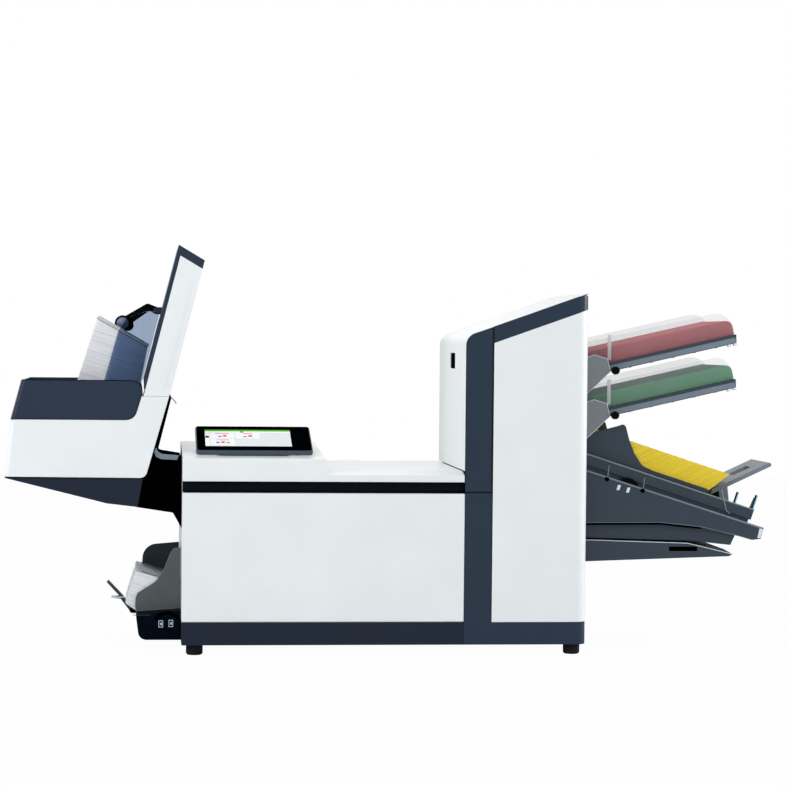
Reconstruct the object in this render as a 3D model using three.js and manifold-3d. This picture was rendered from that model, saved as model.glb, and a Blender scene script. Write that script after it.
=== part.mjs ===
// Desk-side folding and envelope inserting machine, in millimetres, +Z up.
// X runs right along the paper path, Y runs to the back, Z runs up.
// The model is drawn from the body's front left floor corner, then centred.
import * as THREE from "three";
import { mergeVertices } from "three/addons/utils/BufferGeometryUtils.js";
import Module from "manifold-3d";

const wasm = await Module();
wasm.setup();

// Clearances and walls
const seat = 0.3;
const shutLine = 1.0;
const coverWall = 2.5;
const plateWall = 3.0;
const overrun = 2.0;

// Body
const doorWidth = 538.5;
const stripWidth = 53;
const panelWidth = 185.5;
const bodyDepth = 430;
const skirtHeight = 43;
const doorHeight = 247;
const channelHeight = 21;
const panDepth = 18;
const cornerRadius = 20;
const edgeRadius = 3;

// Feet
const footHeight = 20;
const footTopRadius = 16;
const footBottomRadius = 13.5;
const footBevel = 3;
const footInset = 25;

// Lid, console and display
const fasciaHeight = 13.5;
const lidBevelDepth = 30;
const lidHeight = 20;
const consoleWidth = 276;
const consoleTaper = 8;
const consoleDepth = 306;
const consoleFrontHeight = 43.5;
const consoleRearHeight = 64.5;
const displayWidth = 224;
const displayLength = 130;
const displayThickness = 9;
const displayTilt = 18.5;
const displayLeft = 26;
const displayFront = 45;
const displayFrontRise = 1.5;
const displayRadius = 7;
const glassThickness = 1.5;
const glassMargin = 2;
const wedgeShares = [0.18, 0.8];
const wedgeSideShare = 0.2;

// Tower
const towerAboveInsert = 307.5;
const towerSlope = 19.8;
const bandHeight = 31;
const stripRadius = 24;
const stripDepth = 8;
const panelReturn = 40;
const coverHingeDrop = 4;
const pinRadius = 4.2;
const slotWidth = 80;
const slotHeight = 31;
const slotDrop = 149.5;
const latchLap = 9;
const latchDepth = 14;
const latchWall = 2;
const latchTravel = 8;
const slotShift = 16;

// Frame
const frameInset = 30;
const panHeight = 5;
const frameBarRadius = 7;
const bedHeight = 270;
const endPlateInset = 4;
const mouthHeight = 70;

// Paper
const paperShift = 15;
const sheetWidth = 210;
const envelopeWidth = 220;
const sideClearance = 1.5;

// Rollers and drive
const rollerRadius = 16;
const shaftRadius = 5;
const foldRollerRadius = 20;
const foldRollerInset = 108.5;
const foldRollerLow = 200;
const foldRollerGap = 0.6;
const motorRadius = 36;
const motorLength = 90;
const motorPlace = [300, 120];

// Mains inlet and switch
const inletWidth = 48;
const inletHeight = 32;
const inletDepth = 22;
const inletFlange = 3;
const inletPlace = [660, 110];
const inletCavityMargin = 9;
const switchGap = 8;
const switchWidth = 20;
const switchHeight = 26;
const switchThickness = 8;
const switchWall = 3;
const switchTilt = 6;

// Document stations
const stationCount = 2;
const stationPitch = 88;
const stationTilt = 13;
const stationAboveInsert = 71;
const trayLength = 321;
const trayThickness = 17;
const trayMargin = 20;
const trayWell = 3;
const trayStart = 12;
const docGuideHeight = 49;
const docGuideWall = 2.5;
const docGuideRadius = 34;
const docGuideRib = 9;
const docGuideRibDepth = 3;
const docGuideRibPlace = 58;
const docStackHeight = 30;
const docStackLength = 322;
const docStackReach = 40;
const feedRollerReach = 24;
const docStackRadius = 14;
const trayBays = 4;
const feedRollerShare = 0.8;
const bracketReach = 58;
const bracketDrop = 66;
const bracketTop = 22;
const bracketWall = 3;
const bracketGap = 4;
const bracketShares = [0.45, 0.55, 0.4, 0.6, 0.8];
const knobRadius = 8;
const knobLength = 14;
const knobPlace = 68;

// Insert feeder
const insertTilt = 18;
const insertRise = 389;
const railStart = 8;
const railLength = 370;
const railThickness = 22;
const railMargin = 26;
const prongWidth = 5;
const prongHeight = 22;
const prongDepth = 6;
const housingDrop = 184.5;
const housingHeight = 153;
const housingLength = 372.2;
const housingMargin = 45;
const housingStep = 12;
const housingShares = [[0, 1], [1, 0.226], [0.984, 0.088], [0.937, 0.075], [0.873, 0.12], [0.665, 0.24],
  [0.446, 0.297], [0, 0.29]];
const housingFootShares = [[0, 0.32], [0.44, 0.32], [0.66, 0.27], [0.86, 0.16], [0.83, 0], [0.61, 0.056], [0, 0.098]];
const strutPlaces = [58, 123];
const strutWidth = 8;
const strutHeight = 14;
const insertGuideWall = 4;
const insertGuideLength = 267;
const insertGuideHeight = 77;
const insertGuideShares = [[-0.019, 0], [-0.053, 0.366], [0.063, 0.605], [0.2, 0.91], [0.234, 1], [0.258, 0.974],
  [0.317, 0.66], [0.383, 0.379], [0.468, 0.147], [0.558, 0.112], [1, 0.112], [1, 0]];
const insertGuideRadii = [0, 2, 8, 6, 5, 5, 10, 16, 10, 6, 3, 0];
const insertWheelRadius = 24;
const insertWheelWidth = 11;
const insertWheelReach = 94;
const insertWheelDrop = 76;
const insertReach = 30;
const insertStackLength = 272;
const insertStackHeight = 51;
const insertStackLean = 35;
const pusherPlace = 290;
const pusherWidth = 150;
const pusherTilt = 25;
const pusherLength = 138;
const pusherThickness = 8;
const pusherSlotShare = 0.5;
const pusherSlotLength = 40;
const pusherSlotWidth = 44;
const pusherPost = 20;
const lowerTrayMargin = 40;
const lowerTrayDrop = 217;
const lowerTrayHeight = 43.5;
const lowerTrayLength = 312.2;
const lowerTrayShares = [[0, 1], [0.71, 0.84], [0.94, 0.586], [1, 0.345], [0.975, 0.25], [0, 0]];
const recessShare = 0.59;
const recessLevelShare = 0.48;
const recessLength = 57;
const recessDepth = 9;

// Envelope hopper
const hopperMargin = 50;
const hopperLow = 22.3;
const hopperHeight = 55.7;
const hopperLength = 86.3;
const hopperShares = [[1, 1], [0, 0.896], [0.075, 0], [1, 0]];
const hopperRadii = [0, 2, 16, 0];
const hopperMouthLow = 77;
const hopperMouthHeight = 60;
const hopperMouthMargin = 8;
const hopperGuideWall = 3;
const hopperGuideLow = 72.6;
const hopperGuideHeight = 123.4;
const hopperGuideLength = 86.8;
const nearGuideShares = [[1, 1], [0.85, 0.99], [0.775, 0.911], [0.625, 0.643], [0.452, 0.465], [0.048, 0.284],
  [0.012, 0.212], [0, 0.0875], [0.02, 0.004], [1, 0.05]];
const nearGuideRadii = [0, 6, 6, 10, 30, 4, 3, 2, 0, 0];
const farGuideShares = [[1, 0.943], [0.435, 0.911], [0.194, 0.737], [0.147, 0.522], [0.09, 0.006], [1, 0.05]];
const farGuideRadii = [0, 14, 14, 6, 0, 0];
const hopperWheelRadius = 26;
const hopperWheelWidth = 11;
const hopperWheelPlace = [-27.5, 51.5];
const hopperWheelCover = 20.5;
const hopperWheelLevel = 65;
const hopperPileReach = 106.5;
const hopperPileLow = 73;
const hopperPileLength = 116.5;
const hopperPileHeight = 77.5;
const hopperPileShares = [[0.162, 1], [1, 0.62], [1, 0.083], [0.193, 0], [0.138, 0.04], [0, 0.188]];
const leverWidth = 14;
const leverHubRadius = 5.5;
const leverHubPlace = [-94, 63];
const leverLeft = -144.5;
const leverLow = 60;
const leverLength = 54;
const leverHeight = 62.5;
const leverShares = [[0.898, 0], [1, 0.096], [0.661, 0.432], [0.602, 0.512], [0.065, 1], [0, 0.936], [0.472, 0.493],
  [0.183, 0.488], [0.183, 0.44], [0.509, 0.408], [0.843, 0.032]];
const earShare = 0.05;

// Stacker
const stackerMargin = 50;
const stackerWall = 4;
const shellLeft = -338.3;
const shellLow = 333.4;
const shellLength = 312.4;
const shellHeight = 156.6;
const shellShares = [[0.037, 0.711], [0.787, 0.711], [0.831, 1], [1, 1], [0.859, 0], [0, 0.01]];
const shellRadii = [0, 20, 0, 0, 14, 0];
const binShares = [[0.03, 0.03], [0.72, 0.03], [0.75, 0.8], [0.066, 0.8]];
const ductShares = [[0.775, 0.04], [0.851, 0.04], [0.986, 1.01], [0.86, 1.01]];
const rimLeft = -327;
const rimLow = 445.1;
const rimLength = 257;
const rimHeight = 75;
const binRimShares = [[0, 0], [0.91, 0], [1, 1], [0.08, 1]];
const binRimRadii = [0, 20, 20, 0];
const wedgeHeight = 56;
const wedgeInset = 8;
const wedgeOutlineShares = [[0, 1], [0.622, 0.123], [0.812, 0], [0.866, 1]];
const mountLow = 237;
const mountHeight = 251.4;
const mountLength = 86.3;
const bracketOutlineShares = [[0, 0.159], [0.808, 0.117], [1, 0], [1, 0.521], [0.9, 0.527], [0.54, 0.547],
  [0.45, 0.573], [0.76, 1], [0.713, 1], [0.204, 0.3834]];
const pathLow = 274;
const pathHeight = 94;
const pathLength = 79.5;
const pathShares = [[1, 0], [1, 0.32], [0.38, 0.81], [0, 1], [0, 0.755], [0.44, 0.54]];
const exitLow = 596;
const exitHeight = 44;
const columnLean = 14.2;
const columnFoot = -83.1;
const columnWidth = 57.2;
const columnSeam = 490;
const columnHighZ = 781.3;
const columnLowZ = 751.9;
const trimWidth = 8;
const topBandHeight = 16;
const armWidth = 16;
const armHubRadius = 7;
const armPivot = [-50, 656];
const armElbow = [-68, 664];
const armEndShare = 0.62;
const pressPlace = [-116.8, 630.6];
const pressRadius = 16;
const pressWidth = 30;
const pressPin = 3;
const pileStart = 78.3;
const pileLow = 338.5;
const pileLength = 192.5;
const pileHeight = 301;
const pileShares = [[0, 0], [0.755, 0], [0.8, 0.36], [0.932, 0.586], [1, 0.815], [0.49, 1], [0.302, 0.608]];
const stackerGuideWall = 3;
const stackerGuideStart = 138.3;
const stackerGuideLength = 155.5;
const stackerGuideHeight = 315.4;
const stackerGuideShares = [[0, 0], [0.54, 0], [0.604, 0.344], [0.781, 0.56], [1, 0.994], [0.836, 1], [0.592, 0.956],
  [0.485, 0.873]];

// Derived levels and lines
const paperCentre = bodyDepth / 2 + paperShift;
const trayWidth = sheetWidth + trayMargin * 2;
const railWidth = sheetWidth + railMargin * 2;
const housingWidth = sheetWidth + housingMargin * 2;
const lowerTrayWidth = sheetWidth + lowerTrayMargin * 2;
const hopperWidth = envelopeWidth + hopperMargin * 2;
const stackerDepth = envelopeWidth + stackerMargin * 2;
const stackerFront = paperCentre - stackerDepth / 2;
const stationRise = insertRise + stationAboveInsert;
const towerHeight = insertRise + towerAboveInsert;
const slotRise = towerHeight - slotDrop;
const housingLow = insertRise - housingDrop;
const insertWheelLevel = insertRise - insertWheelDrop;
const foldRollerLine = doorWidth - foldRollerInset;
const foldRollerPlaces = [
  [foldRollerLine, foldRollerLow],
  [foldRollerLine, foldRollerLow + foldRollerRadius * 2 + foldRollerGap],
];
const lowerTrayLow = insertRise - lowerTrayDrop;
const bodyWidth = doorWidth + stripWidth + panelWidth;
const skirtTop = footHeight + skirtHeight;
const doorTop = skirtTop + doorHeight;
const lidBottom = doorTop + channelHeight + shutLine / 2;
const lidTop = lidBottom + lidHeight;
const stripLeft = doorWidth + shutLine / 2;
const stripRight = doorWidth + stripWidth;
const frameFront = frameInset;
const frameBack = bodyDepth - frameInset;
const feedFace = bodyWidth - coverWall - endPlateInset + seat;
const coverPivot = [stripLeft + coverWall + seat + pinRadius, lidTop + shutLine + coverHingeDrop];

const switchPlace = [inletPlace[0] + inletWidth / 2 + switchGap + switchWidth / 2, inletPlace[1]];

const machine = new THREE.Group();

// Finishes
const finish = (colour, roughness, metalness = 0) =>
  new THREE.MeshStandardMaterial({ color: colour, roughness, metalness });
const whiteCover = finish(0xe9edee, 0.4);
const navyTrim = finish(0x2b3b4e, 0.45);
const blackPlastic = finish(0x14161a, 0.5);
const greyPlastic = finish(0x3c4750, 0.5);
const guidePlastic = finish(0x3f4443, 0.6);
const clearPlastic = finish(0xc4ccd2, 0.15);
const rubber = finish(0x1a1b1d, 0.9);
const steel = finish(0x9aa0a6, 0.35, 0.9);
const glass = finish(0x0a0c10, 0.1);
const whitePaper = finish(0xe6e8f0, 0.85);
const redPaper = finish(0xc0242c, 0.8);
const greenPaper = finish(0x1f8a4c, 0.8);
const yellowPaper = finish(0xf4d31f, 0.8);

// Turns a closed geometry into a solid that can be cut and joined.
function toSolid(geometry) {
  const bare = geometry.clone();
  bare.deleteAttribute("normal");
  bare.deleteAttribute("uv");
  const merged = mergeVertices(bare, 1e-4);
  return new wasm.Manifold(new wasm.Mesh({
    numProp: 3,
    vertProperties: new Float32Array(merged.attributes.position.array),
    triVerts: new Uint32Array(merged.index.array),
  }));
}

// Turns a solid back into a geometry.
function toGeometry(solid) {
  const mesh = solid.getMesh();
  const geometry = new THREE.BufferGeometry();
  geometry.setAttribute("position", new THREE.BufferAttribute(mesh.vertProperties, 3));
  geometry.setIndex(new THREE.BufferAttribute(mesh.triVerts, 1));
  geometry.computeVertexNormals();
  return geometry;
}

const join = (...shapes) => shapes.slice(1).reduce((sum, next) => sum.add(next), shapes[0]);
const cut = (body, ...tools) => tools.reduce((left, tool) => left.subtract(tool), body);

// Adds one named piece to the machine.
function addPiece(name, solid, material) {
  const mesh = new THREE.Mesh(toGeometry(solid), material);
  mesh.name = name;
  machine.add(mesh);
}

// A box between two corners.
function block(x0, x1, y0, y1, z0, z1) {
  const geometry = new THREE.BoxGeometry(x1 - x0, y1 - y0, z1 - z0);
  geometry.translate((x0 + x1) / 2, (y0 + y1) / 2, (z0 + z1) / 2);
  return toSolid(geometry);
}

// Rounds the corners of a closed outline. Radii are listed per corner, zero for a sharp one.
function rounded(points, radii, steps = 5) {
  const outline = [];
  points.forEach((point, index) => {
    const radius = Array.isArray(radii) ? radii[index] : radii;
    const corner = new THREE.Vector2(...point);
    if (!radius) {
      outline.push(corner);
      return;
    }
    const before = new THREE.Vector2(...points[(index + points.length - 1) % points.length]);
    const after = new THREE.Vector2(...points[(index + 1) % points.length]);
    const inward = before.sub(corner).normalize();
    const outward = after.sub(corner).normalize();
    const half = Math.acos(THREE.MathUtils.clamp(inward.dot(outward), -1, 1)) / 2;
    const reach = radius / Math.tan(half);
    const bisector = inward.clone().add(outward).normalize();
    const centre = corner.clone().addScaledVector(bisector, radius / Math.sin(half));
    const start = corner.clone().addScaledVector(inward, reach).sub(centre);
    const end = corner.clone().addScaledVector(outward, reach).sub(centre);
    const turn = Math.atan2(start.cross(end), start.dot(end));
    for (let step = 0; step <= steps; step += 1) {
      const arm = start.clone().rotateAround(new THREE.Vector2(), (turn * step) / steps);
      outline.push(arm.add(centre));
    }
  });
  return outline;
}

// Moves every side of an outline inwards by the same distance.
function shrunk(points, distance) {
  const outline = asVectors(points);
  const area = THREE.ShapeUtils.area(outline);
  const offset = Math.sign(area) * distance;
  return outline.map((corner, index) => {
    const before = outline[(index + outline.length - 1) % outline.length];
    const after = outline[(index + 1) % outline.length];
    const sideIn = corner.clone().sub(before).normalize();
    const sideOut = after.clone().sub(corner).normalize();
    const normalIn = new THREE.Vector2(-sideIn.y, sideIn.x);
    const normalOut = new THREE.Vector2(-sideOut.y, sideOut.x);
    const reach = offset / (1 + normalIn.dot(normalOut));
    return corner.clone().addScaledVector(normalIn.add(normalOut), reach);
  });
}

// Spreads an outline of shares over a rectangle.
const spread = (shares, left, low, width, height) =>
  shares.map(([across, up]) => [left + width * across, low + height * up]);

// Points along and above a tilted line that starts at an origin in X and Z.
function tiltedFrame(originX, originZ, degrees) {
  const angle = THREE.MathUtils.degToRad(degrees);
  const along = [Math.cos(angle), Math.sin(angle)];
  return ([run, rise]) => [originX + run * along[0] - rise * along[1], originZ + run * along[1] + rise * along[0]];
}

const asVectors = (points) => points.map((point) => (point.isVector2 ? point : new THREE.Vector2(...point)));

// Extrudes an outline drawn in X and Z from one Y to another.
function slabY(points, front, back) {
  const shape = new THREE.Shape(asVectors(points));
  const geometry = new THREE.ExtrudeGeometry(shape, { depth: back - front, bevelEnabled: false });
  geometry.rotateX(Math.PI / 2);
  geometry.translate(0, back, 0);
  return toSolid(geometry);
}

// Extrudes an outline drawn in Y and Z from one X to another.
function slabX(points, left, right) {
  const shape = new THREE.Shape(asVectors(points));
  const geometry = new THREE.ExtrudeGeometry(shape, { depth: right - left, bevelEnabled: false });
  geometry.rotateX(Math.PI / 2);
  geometry.rotateZ(Math.PI / 2);
  geometry.translate(left, 0, 0);
  return toSolid(geometry);
}

// Extrudes an outline drawn in X and Y from one Z to another.
function slabZ(points, low, high) {
  const shape = new THREE.Shape(asVectors(points));
  const geometry = new THREE.ExtrudeGeometry(shape, { depth: high - low, bevelEnabled: false });
  geometry.translate(0, 0, low);
  return toSolid(geometry);
}

// A round bar along Y.
function rodY(centre, radius, front, back, sides = 24) {
  const geometry = new THREE.CylinderGeometry(radius, radius, back - front, sides);
  geometry.translate(centre[0], (front + back) / 2, centre[1]);
  return toSolid(geometry);
}

// A knurled wheel along Y: a round bar with shallow notches around its rim.
function knurledWheelY(centre, radius, front, back, notches, notchDepth) {
  const count = notches * 4;
  const points = [];
  for (let step = 0; step < count; step += 1) {
    const angle = (2 * Math.PI * step) / count;
    const reach = step % 4 < 2 ? radius : radius - notchDepth;
    points.push([centre[0] + reach * Math.cos(angle), centre[1] + reach * Math.sin(angle)]);
  }
  return slabY(points, front, back);
}

// The tower's sloping top line.
const towerTan = Math.tan(THREE.MathUtils.degToRad(towerSlope));
const towerTop = (x) => towerHeight - (bodyWidth - x) * towerTan;

// Feet: rubber pads on short stems
function addFeet() {
  const profile = [
    [0, 0],
    [footBottomRadius, 0],
    [footTopRadius, footBevel],
    [footTopRadius, footHeight - seat],
    [0, footHeight - seat],
  ];
  const places = {
    foot_front_left: [footInset, footInset],
    foot_front_right: [bodyWidth - footInset, footInset],
    foot_rear_left: [footInset, bodyDepth - footInset],
    foot_rear_right: [bodyWidth - footInset, bodyDepth - footInset],
  };
  for (const [name, [x, y]] of Object.entries(places)) {
    const geometry = new THREE.LatheGeometry(asVectors(profile), 24);
    geometry.rotateX(Math.PI / 2);
    geometry.translate(x, y, 0);
    addPiece(name, toSolid(geometry), rubber);
  }
}

// A U-shaped or L-shaped wall in plan, following the body's outside.
function planWall(left, right, front, back, wall, radii) {
  const outer = rounded([[left, front], [right, front], [right, back], [left, back]], radii);
  const inner = rounded(
    [[left + wall, front + wall], [right - wall, front + wall], [right - wall, back - wall], [left + wall, back - wall]],
    radii.map((radius) => Math.max(radius - wall, 0)),
  );
  return { outer, inner };
}

// Skirt round the base, with the dark L-shaped tower frame beside it
function addBase() {
  const radii = [0, cornerRadius, cornerRadius, 0];
  const walls = planWall(0, bodyWidth, 0, bodyDepth, coverWall, radii);
  const ring = cut(slabZ(walls.outer, footHeight, skirtTop), slabZ(walls.inner, footHeight - overrun, skirtTop + overrun));
  const split = block(stripLeft - seat, bodyWidth + overrun, -overrun, bodyDepth + overrun, 0, skirtTop + overrun);
  addPiece("base_skirt", cut(ring, split), navyTrim);
  const rightSide = block(stripLeft, bodyWidth + overrun, -overrun, bodyDepth + overrun, 0, skirtTop + overrun);
  const stripOuter = block(stripLeft, stripRight - seat, 0, stripDepth, footHeight, doorTop + shutLine);
  const stripInner = block(stripLeft + coverWall, stripRight - seat - coverWall, coverWall, stripDepth + overrun,
    skirtTop - overrun, doorTop + shutLine - coverWall);
  const lowerStrip = cut(stripOuter, stripInner,
    block(stripLeft - overrun, bodyWidth, coverWall, bodyDepth, 0, skirtTop - coverWall));
  addPiece("tower_frame", join(ring.intersect(rightSide), lowerStrip), navyTrim);
}

// Welded frame: base pan, two side plates, the feed end plate and cross bars
function addMainFrame() {
  const inside = coverWall + seat;
  const corner = cornerRadius - inside;
  const pan = slabZ(
    rounded([[inside, inside], [bodyWidth - inside, inside], [bodyWidth - inside, bodyDepth - inside],
      [inside, bodyDepth - inside]], [0, corner, corner, 0]),
    footHeight, footHeight + panHeight);
  const left = stripLeft + coverWall + seat + pinRadius;
  const right = bodyWidth - coverWall - endPlateInset;
  const under = bandHeight + plateWall;
  const outline = [
    [frameInset, footHeight + panHeight / 2],
    [right, footHeight + panHeight / 2],
    [right, towerTop(right) - under],
    [left, towerTop(left) - under],
    [left, bedHeight],
    [frameInset, bedHeight],
  ];
  const driveHole = rodY(motorPlace, motorRadius / 2, frameBack - plateWall - overrun, frameBack + overrun);
  const frontPlate = slabY(outline, frameFront, frameFront + plateWall);
  const backPlate = cut(slabY(outline, frameBack - plateWall, frameBack), driveHole);
  const endPlate = block(right - plateWall, right, frameFront, frameBack, footHeight + panHeight / 2,
    towerTop(right) - under);
  const mouths = [];
  for (let station = 0; station < stationCount; station += 1) {
    const low = stationRise + station * stationPitch - trayThickness;
    mouths.push(block(right - plateWall - overrun, right + overrun, paperCentre - trayWidth / 2,
      paperCentre + trayWidth / 2, low, low + mouthHeight));
  }
  mouths.push(block(right - plateWall - overrun, right + overrun, paperCentre - trayWidth / 2,
    paperCentre + trayWidth / 2, insertRise, insertRise + mouthHeight));
  const barPlaces = [
    [frameInset * 2, bedHeight / 2],
    [foldRollerLine - foldRollerRadius * 2, bedHeight - frameBarRadius * 2],
    [left + frameBarRadius * 3, bedHeight * 1.5],
    [left + frameBarRadius * 3, towerTop(left) - under - frameBarRadius * 3],
    [right - frameBarRadius * 4, bedHeight / 2],
  ];
  const bars = barPlaces.map((place) => rodY(place, frameBarRadius, frameFront + plateWall / 2,
    frameBack - plateWall / 2, 16));
  const pin = rodY(coverPivot, pinRadius, frameFront + plateWall / 2, frameBack - plateWall / 2, 20);
  addPiece("main_frame", join(pan, frontPlate, backPlate, cut(endPlate, ...mouths), ...bars, pin), steel);
}

// The way of a finished envelope: out of the body, up through the bracket, into the stacker's duct
function envelopePath() {
  return slabY(spread(pathShares, -pathLength + coverWall + overrun, pathLow, pathLength, pathHeight),
    paperCentre - envelopeWidth / 2 - sideClearance, paperCentre + envelopeWidth / 2 + sideClearance);
}

// Rear cover: back panel, left end wall and the tower's rear right corner
function addRearCover() {
  const low = skirtTop + seat;
  const bodyTop = lidBottom - shutLine / 2;
  const towerLeft = stripLeft + coverWall + seat;
  const roof = coverWall * 2;
  // The notch beside the cover's hinge leaves room for the cover's lower corner to swing.
  const back = slabY(rounded([
    [0, low],
    [bodyWidth, low],
    [bodyWidth, towerTop(bodyWidth) - roof],
    [towerLeft, towerTop(towerLeft) - roof],
    [towerLeft, coverPivot[1] + coverHingeDrop],
    [towerLeft + coverHingeDrop, coverPivot[1]],
    [towerLeft + coverHingeDrop, bodyTop],
    [0, bodyTop],
  ], [0, 0, 0, stripRadius, 0, 0, 0, 0]), bodyDepth - coverWall, bodyDepth);
  const endStart = panDepth + shutLine;
  const leftWall = block(0, coverWall, endStart, bodyDepth - coverWall / 2, low, bodyTop);
  const hopperMouth = block(-overrun, coverWall + overrun, paperCentre - envelopeWidth / 2 - hopperMouthMargin,
    paperCentre + envelopeWidth / 2 + hopperMouthMargin, hopperMouthLow, hopperMouthLow + hopperMouthHeight);
  const returnWall = slabY([
    [bodyWidth - coverWall, low],
    [bodyWidth, low],
    [bodyWidth, towerTop(bodyWidth) - roof],
    [bodyWidth - coverWall, towerTop(bodyWidth - coverWall) - roof],
  ], bodyDepth - panelReturn, bodyDepth - coverWall / 2);
  const [inletX, inletZ] = inletPlace;
  const inletWindow = block(inletX - inletWidth / 2, inletX + inletWidth / 2, bodyDepth - coverWall - overrun,
    bodyDepth + overrun, inletZ - inletHeight / 2, inletZ + inletHeight / 2);
  const switchWindow = block(switchPlace[0] - switchWidth / 2 - switchWall, switchPlace[0] + switchWidth / 2 + switchWall,
    bodyDepth - coverWall - overrun, bodyDepth + overrun,
    switchPlace[1] - switchHeight / 2 - switchWall, switchPlace[1] + switchHeight / 2 + switchWall);
  addPiece("rear_cover", cut(join(back, leftWall, returnWall), hopperMouth, envelopePath(), inletWindow, switchWindow),
    whiteCover);
}

// Grip channel: the dark back of the finger groove between door and lid
function addGripChannel() {
  const low = doorTop + shutLine / 2;
  const high = lidBottom - shutLine / 2;
  const back = panDepth + shutLine - seat;
  addPiece("grip_channel", block(0, doorWidth - seat, back - plateWall, back, low, high), blackPlastic);
}

// Tower side panel with its rounded front corner, and the dark sloped band above it
function addTowerSide() {
  const radii = [0, cornerRadius, 0, 0];
  const walls = planWall(stripLeft, bodyWidth, 0, bodyDepth, coverWall, radii);
  const ring = cut(slabZ(walls.outer, skirtTop + seat, towerHeight), slabZ(walls.inner, 0, towerHeight + overrun));
  const left = stripRight + shutLine;
  const corner = ring.intersect(block(left, bodyWidth + overrun, -overrun, panelReturn, 0, towerHeight + overrun));
  const under = (drop) => slabY([
    [left - overrun, 0],
    [bodyWidth + overrun, 0],
    [bodyWidth + overrun, towerTop(bodyWidth + overrun) - drop],
    [left - overrun, towerTop(left - overrun) - drop],
  ], -overrun, bodyDepth);
  addPiece("tower_side_panel", corner.intersect(under(bandHeight + seat)), whiteCover);
  const roofRoom = slabY([
    [left - overrun, towerTop(left - overrun) - coverWall * 2],
    [bodyWidth + overrun, towerTop(bodyWidth + overrun) - coverWall * 2],
    [bodyWidth + overrun, towerHeight * 2],
    [left - overrun, towerHeight * 2],
  ], stripDepth, bodyDepth);
  addPiece("tower_top_trim", cut(corner.intersect(under(0)), under(bandHeight), roofRoom), navyTrim);
}

// Upper strip beside the collator cover, a shallow tray open to the back
function addCollatorStrip() {
  const low = doorTop + shutLine * 2;
  const outline = (inset) => rounded([
    [stripLeft + inset, low + inset],
    [stripRight - inset, low + inset],
    [stripRight - inset, towerTop(stripRight - inset) - inset],
    [stripLeft + inset, towerTop(stripLeft + inset) - inset],
  ], [0, 0, 0, stripRadius - inset]);
  addPiece("collator_strip", cut(slabY(outline(0), 0, stripDepth), slabY(outline(coverWall), coverWall,
    stripDepth + overrun)), navyTrim);
}

// Front door: a pan that drops open about its bottom edge
function addFrontDoor() {
  const low = skirtTop + shutLine / 2;
  const high = doorTop - shutLine / 2;
  const outer = slabX(rounded([[0, low], [panDepth, low], [panDepth, high], [0, high]],
    [edgeRadius, 0, 0, edgeRadius / 2]), 0, doorWidth);
  const inner = block(coverWall, doorWidth - coverWall, coverWall, panDepth + overrun, low + edgeRadius * 2,
    high - coverWall);
  addPiece("front_door", cut(outer, inner), whiteCover);
}

// Top of the console at a distance from the front
const consoleTop = (y) => lidBottom + consoleFrontHeight
  + ((consoleRearHeight - consoleFrontHeight) * y) / consoleDepth;

// Top lid with the console block moulded on it, a shell open underneath
function addTopLid() {
  const back = bodyDepth - coverWall + shutLine / 2;
  const lidOutline = [
    [0, lidBottom],
    [back, lidBottom],
    [back, lidTop],
    [lidBevelDepth, lidTop],
    [0, lidBottom + fasciaHeight],
  ];
  const consoleOutline = [
    [0, lidBottom],
    [consoleDepth, lidBottom],
    [consoleDepth, consoleTop(consoleDepth)],
    [0, consoleTop(0)],
  ];
  const taper = (inset) => slabY([
    [inset, lidBottom - overrun],
    [consoleWidth - inset, lidBottom - overrun],
    [consoleWidth - inset, lidTop - inset],
    [consoleWidth - consoleTaper - inset, consoleTop(consoleDepth)],
    [consoleWidth - consoleTaper - inset, consoleTop(consoleDepth) + overrun],
    [inset, consoleTop(consoleDepth) + overrun],
  ], -overrun, bodyDepth);
  const consoleBlock = slabX(rounded(consoleOutline, [0, 0, edgeRadius * 3, edgeRadius * 2]), 0, consoleWidth)
    .intersect(taper(0));
  const outer = join(slabX(lidOutline, 0, doorWidth - shutLine / 2), consoleBlock);
  const opened = (points) => shrunk(points, coverWall).map((point, index) =>
    (index < 2 ? [point.x, lidBottom - overrun] : [point.x, point.y]));
  const lidRoom = slabX(opened(lidOutline), coverWall, doorWidth - shutLine / 2 - coverWall);
  const consoleRoom = slabX(opened(consoleOutline), coverWall, consoleWidth).intersect(taper(coverWall));
  addPiece("top_lid", cut(outer, lidRoom, consoleRoom), whiteCover);
}

// Display on its wedge, and the glass on its face
function addDisplay() {
  const angle = THREE.MathUtils.degToRad(displayTilt);
  const along = [Math.cos(angle), Math.sin(angle)];
  const start = [displayFront, consoleTop(displayFront) + displayFrontRise];
  const plate = (margin, low, high, radius) => {
    const geometry = new THREE.ExtrudeGeometry(
      new THREE.Shape(asVectors(rounded([
        [margin, margin],
        [displayWidth - margin, margin],
        [displayWidth - margin, displayLength - margin],
        [margin, displayLength - margin],
      ], radius))),
      { depth: high - low, bevelEnabled: false },
    );
    geometry.translate(0, 0, low);
    geometry.rotateX(angle);
    geometry.translate(displayLeft, start[0], start[1]);
    return toSolid(geometry);
  };
  const wedgeFront = displayFront + displayLength * wedgeShares[0];
  const wedgeBack = displayFront + displayLength * wedgeShares[1];
  const plateZ = (y) => start[1] + ((y - start[0]) * along[1]) / along[0] + displayThickness / 2;
  const wedge = slabX([
    [wedgeFront, consoleTop(wedgeFront) + seat],
    [wedgeBack, consoleTop(wedgeBack) + seat],
    [wedgeBack, plateZ(wedgeBack)],
    [wedgeFront, plateZ(wedgeFront)],
  ], displayLeft + displayWidth * wedgeSideShare, displayLeft + displayWidth * (1 - wedgeSideShare));
  addPiece("display_housing", join(plate(0, 0, displayThickness, displayRadius), wedge), blackPlastic);
  addPiece("display_glass", plate(glassMargin, displayThickness + seat, displayThickness + seat + glassThickness,
    displayRadius - glassMargin), glass);
}

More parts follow.
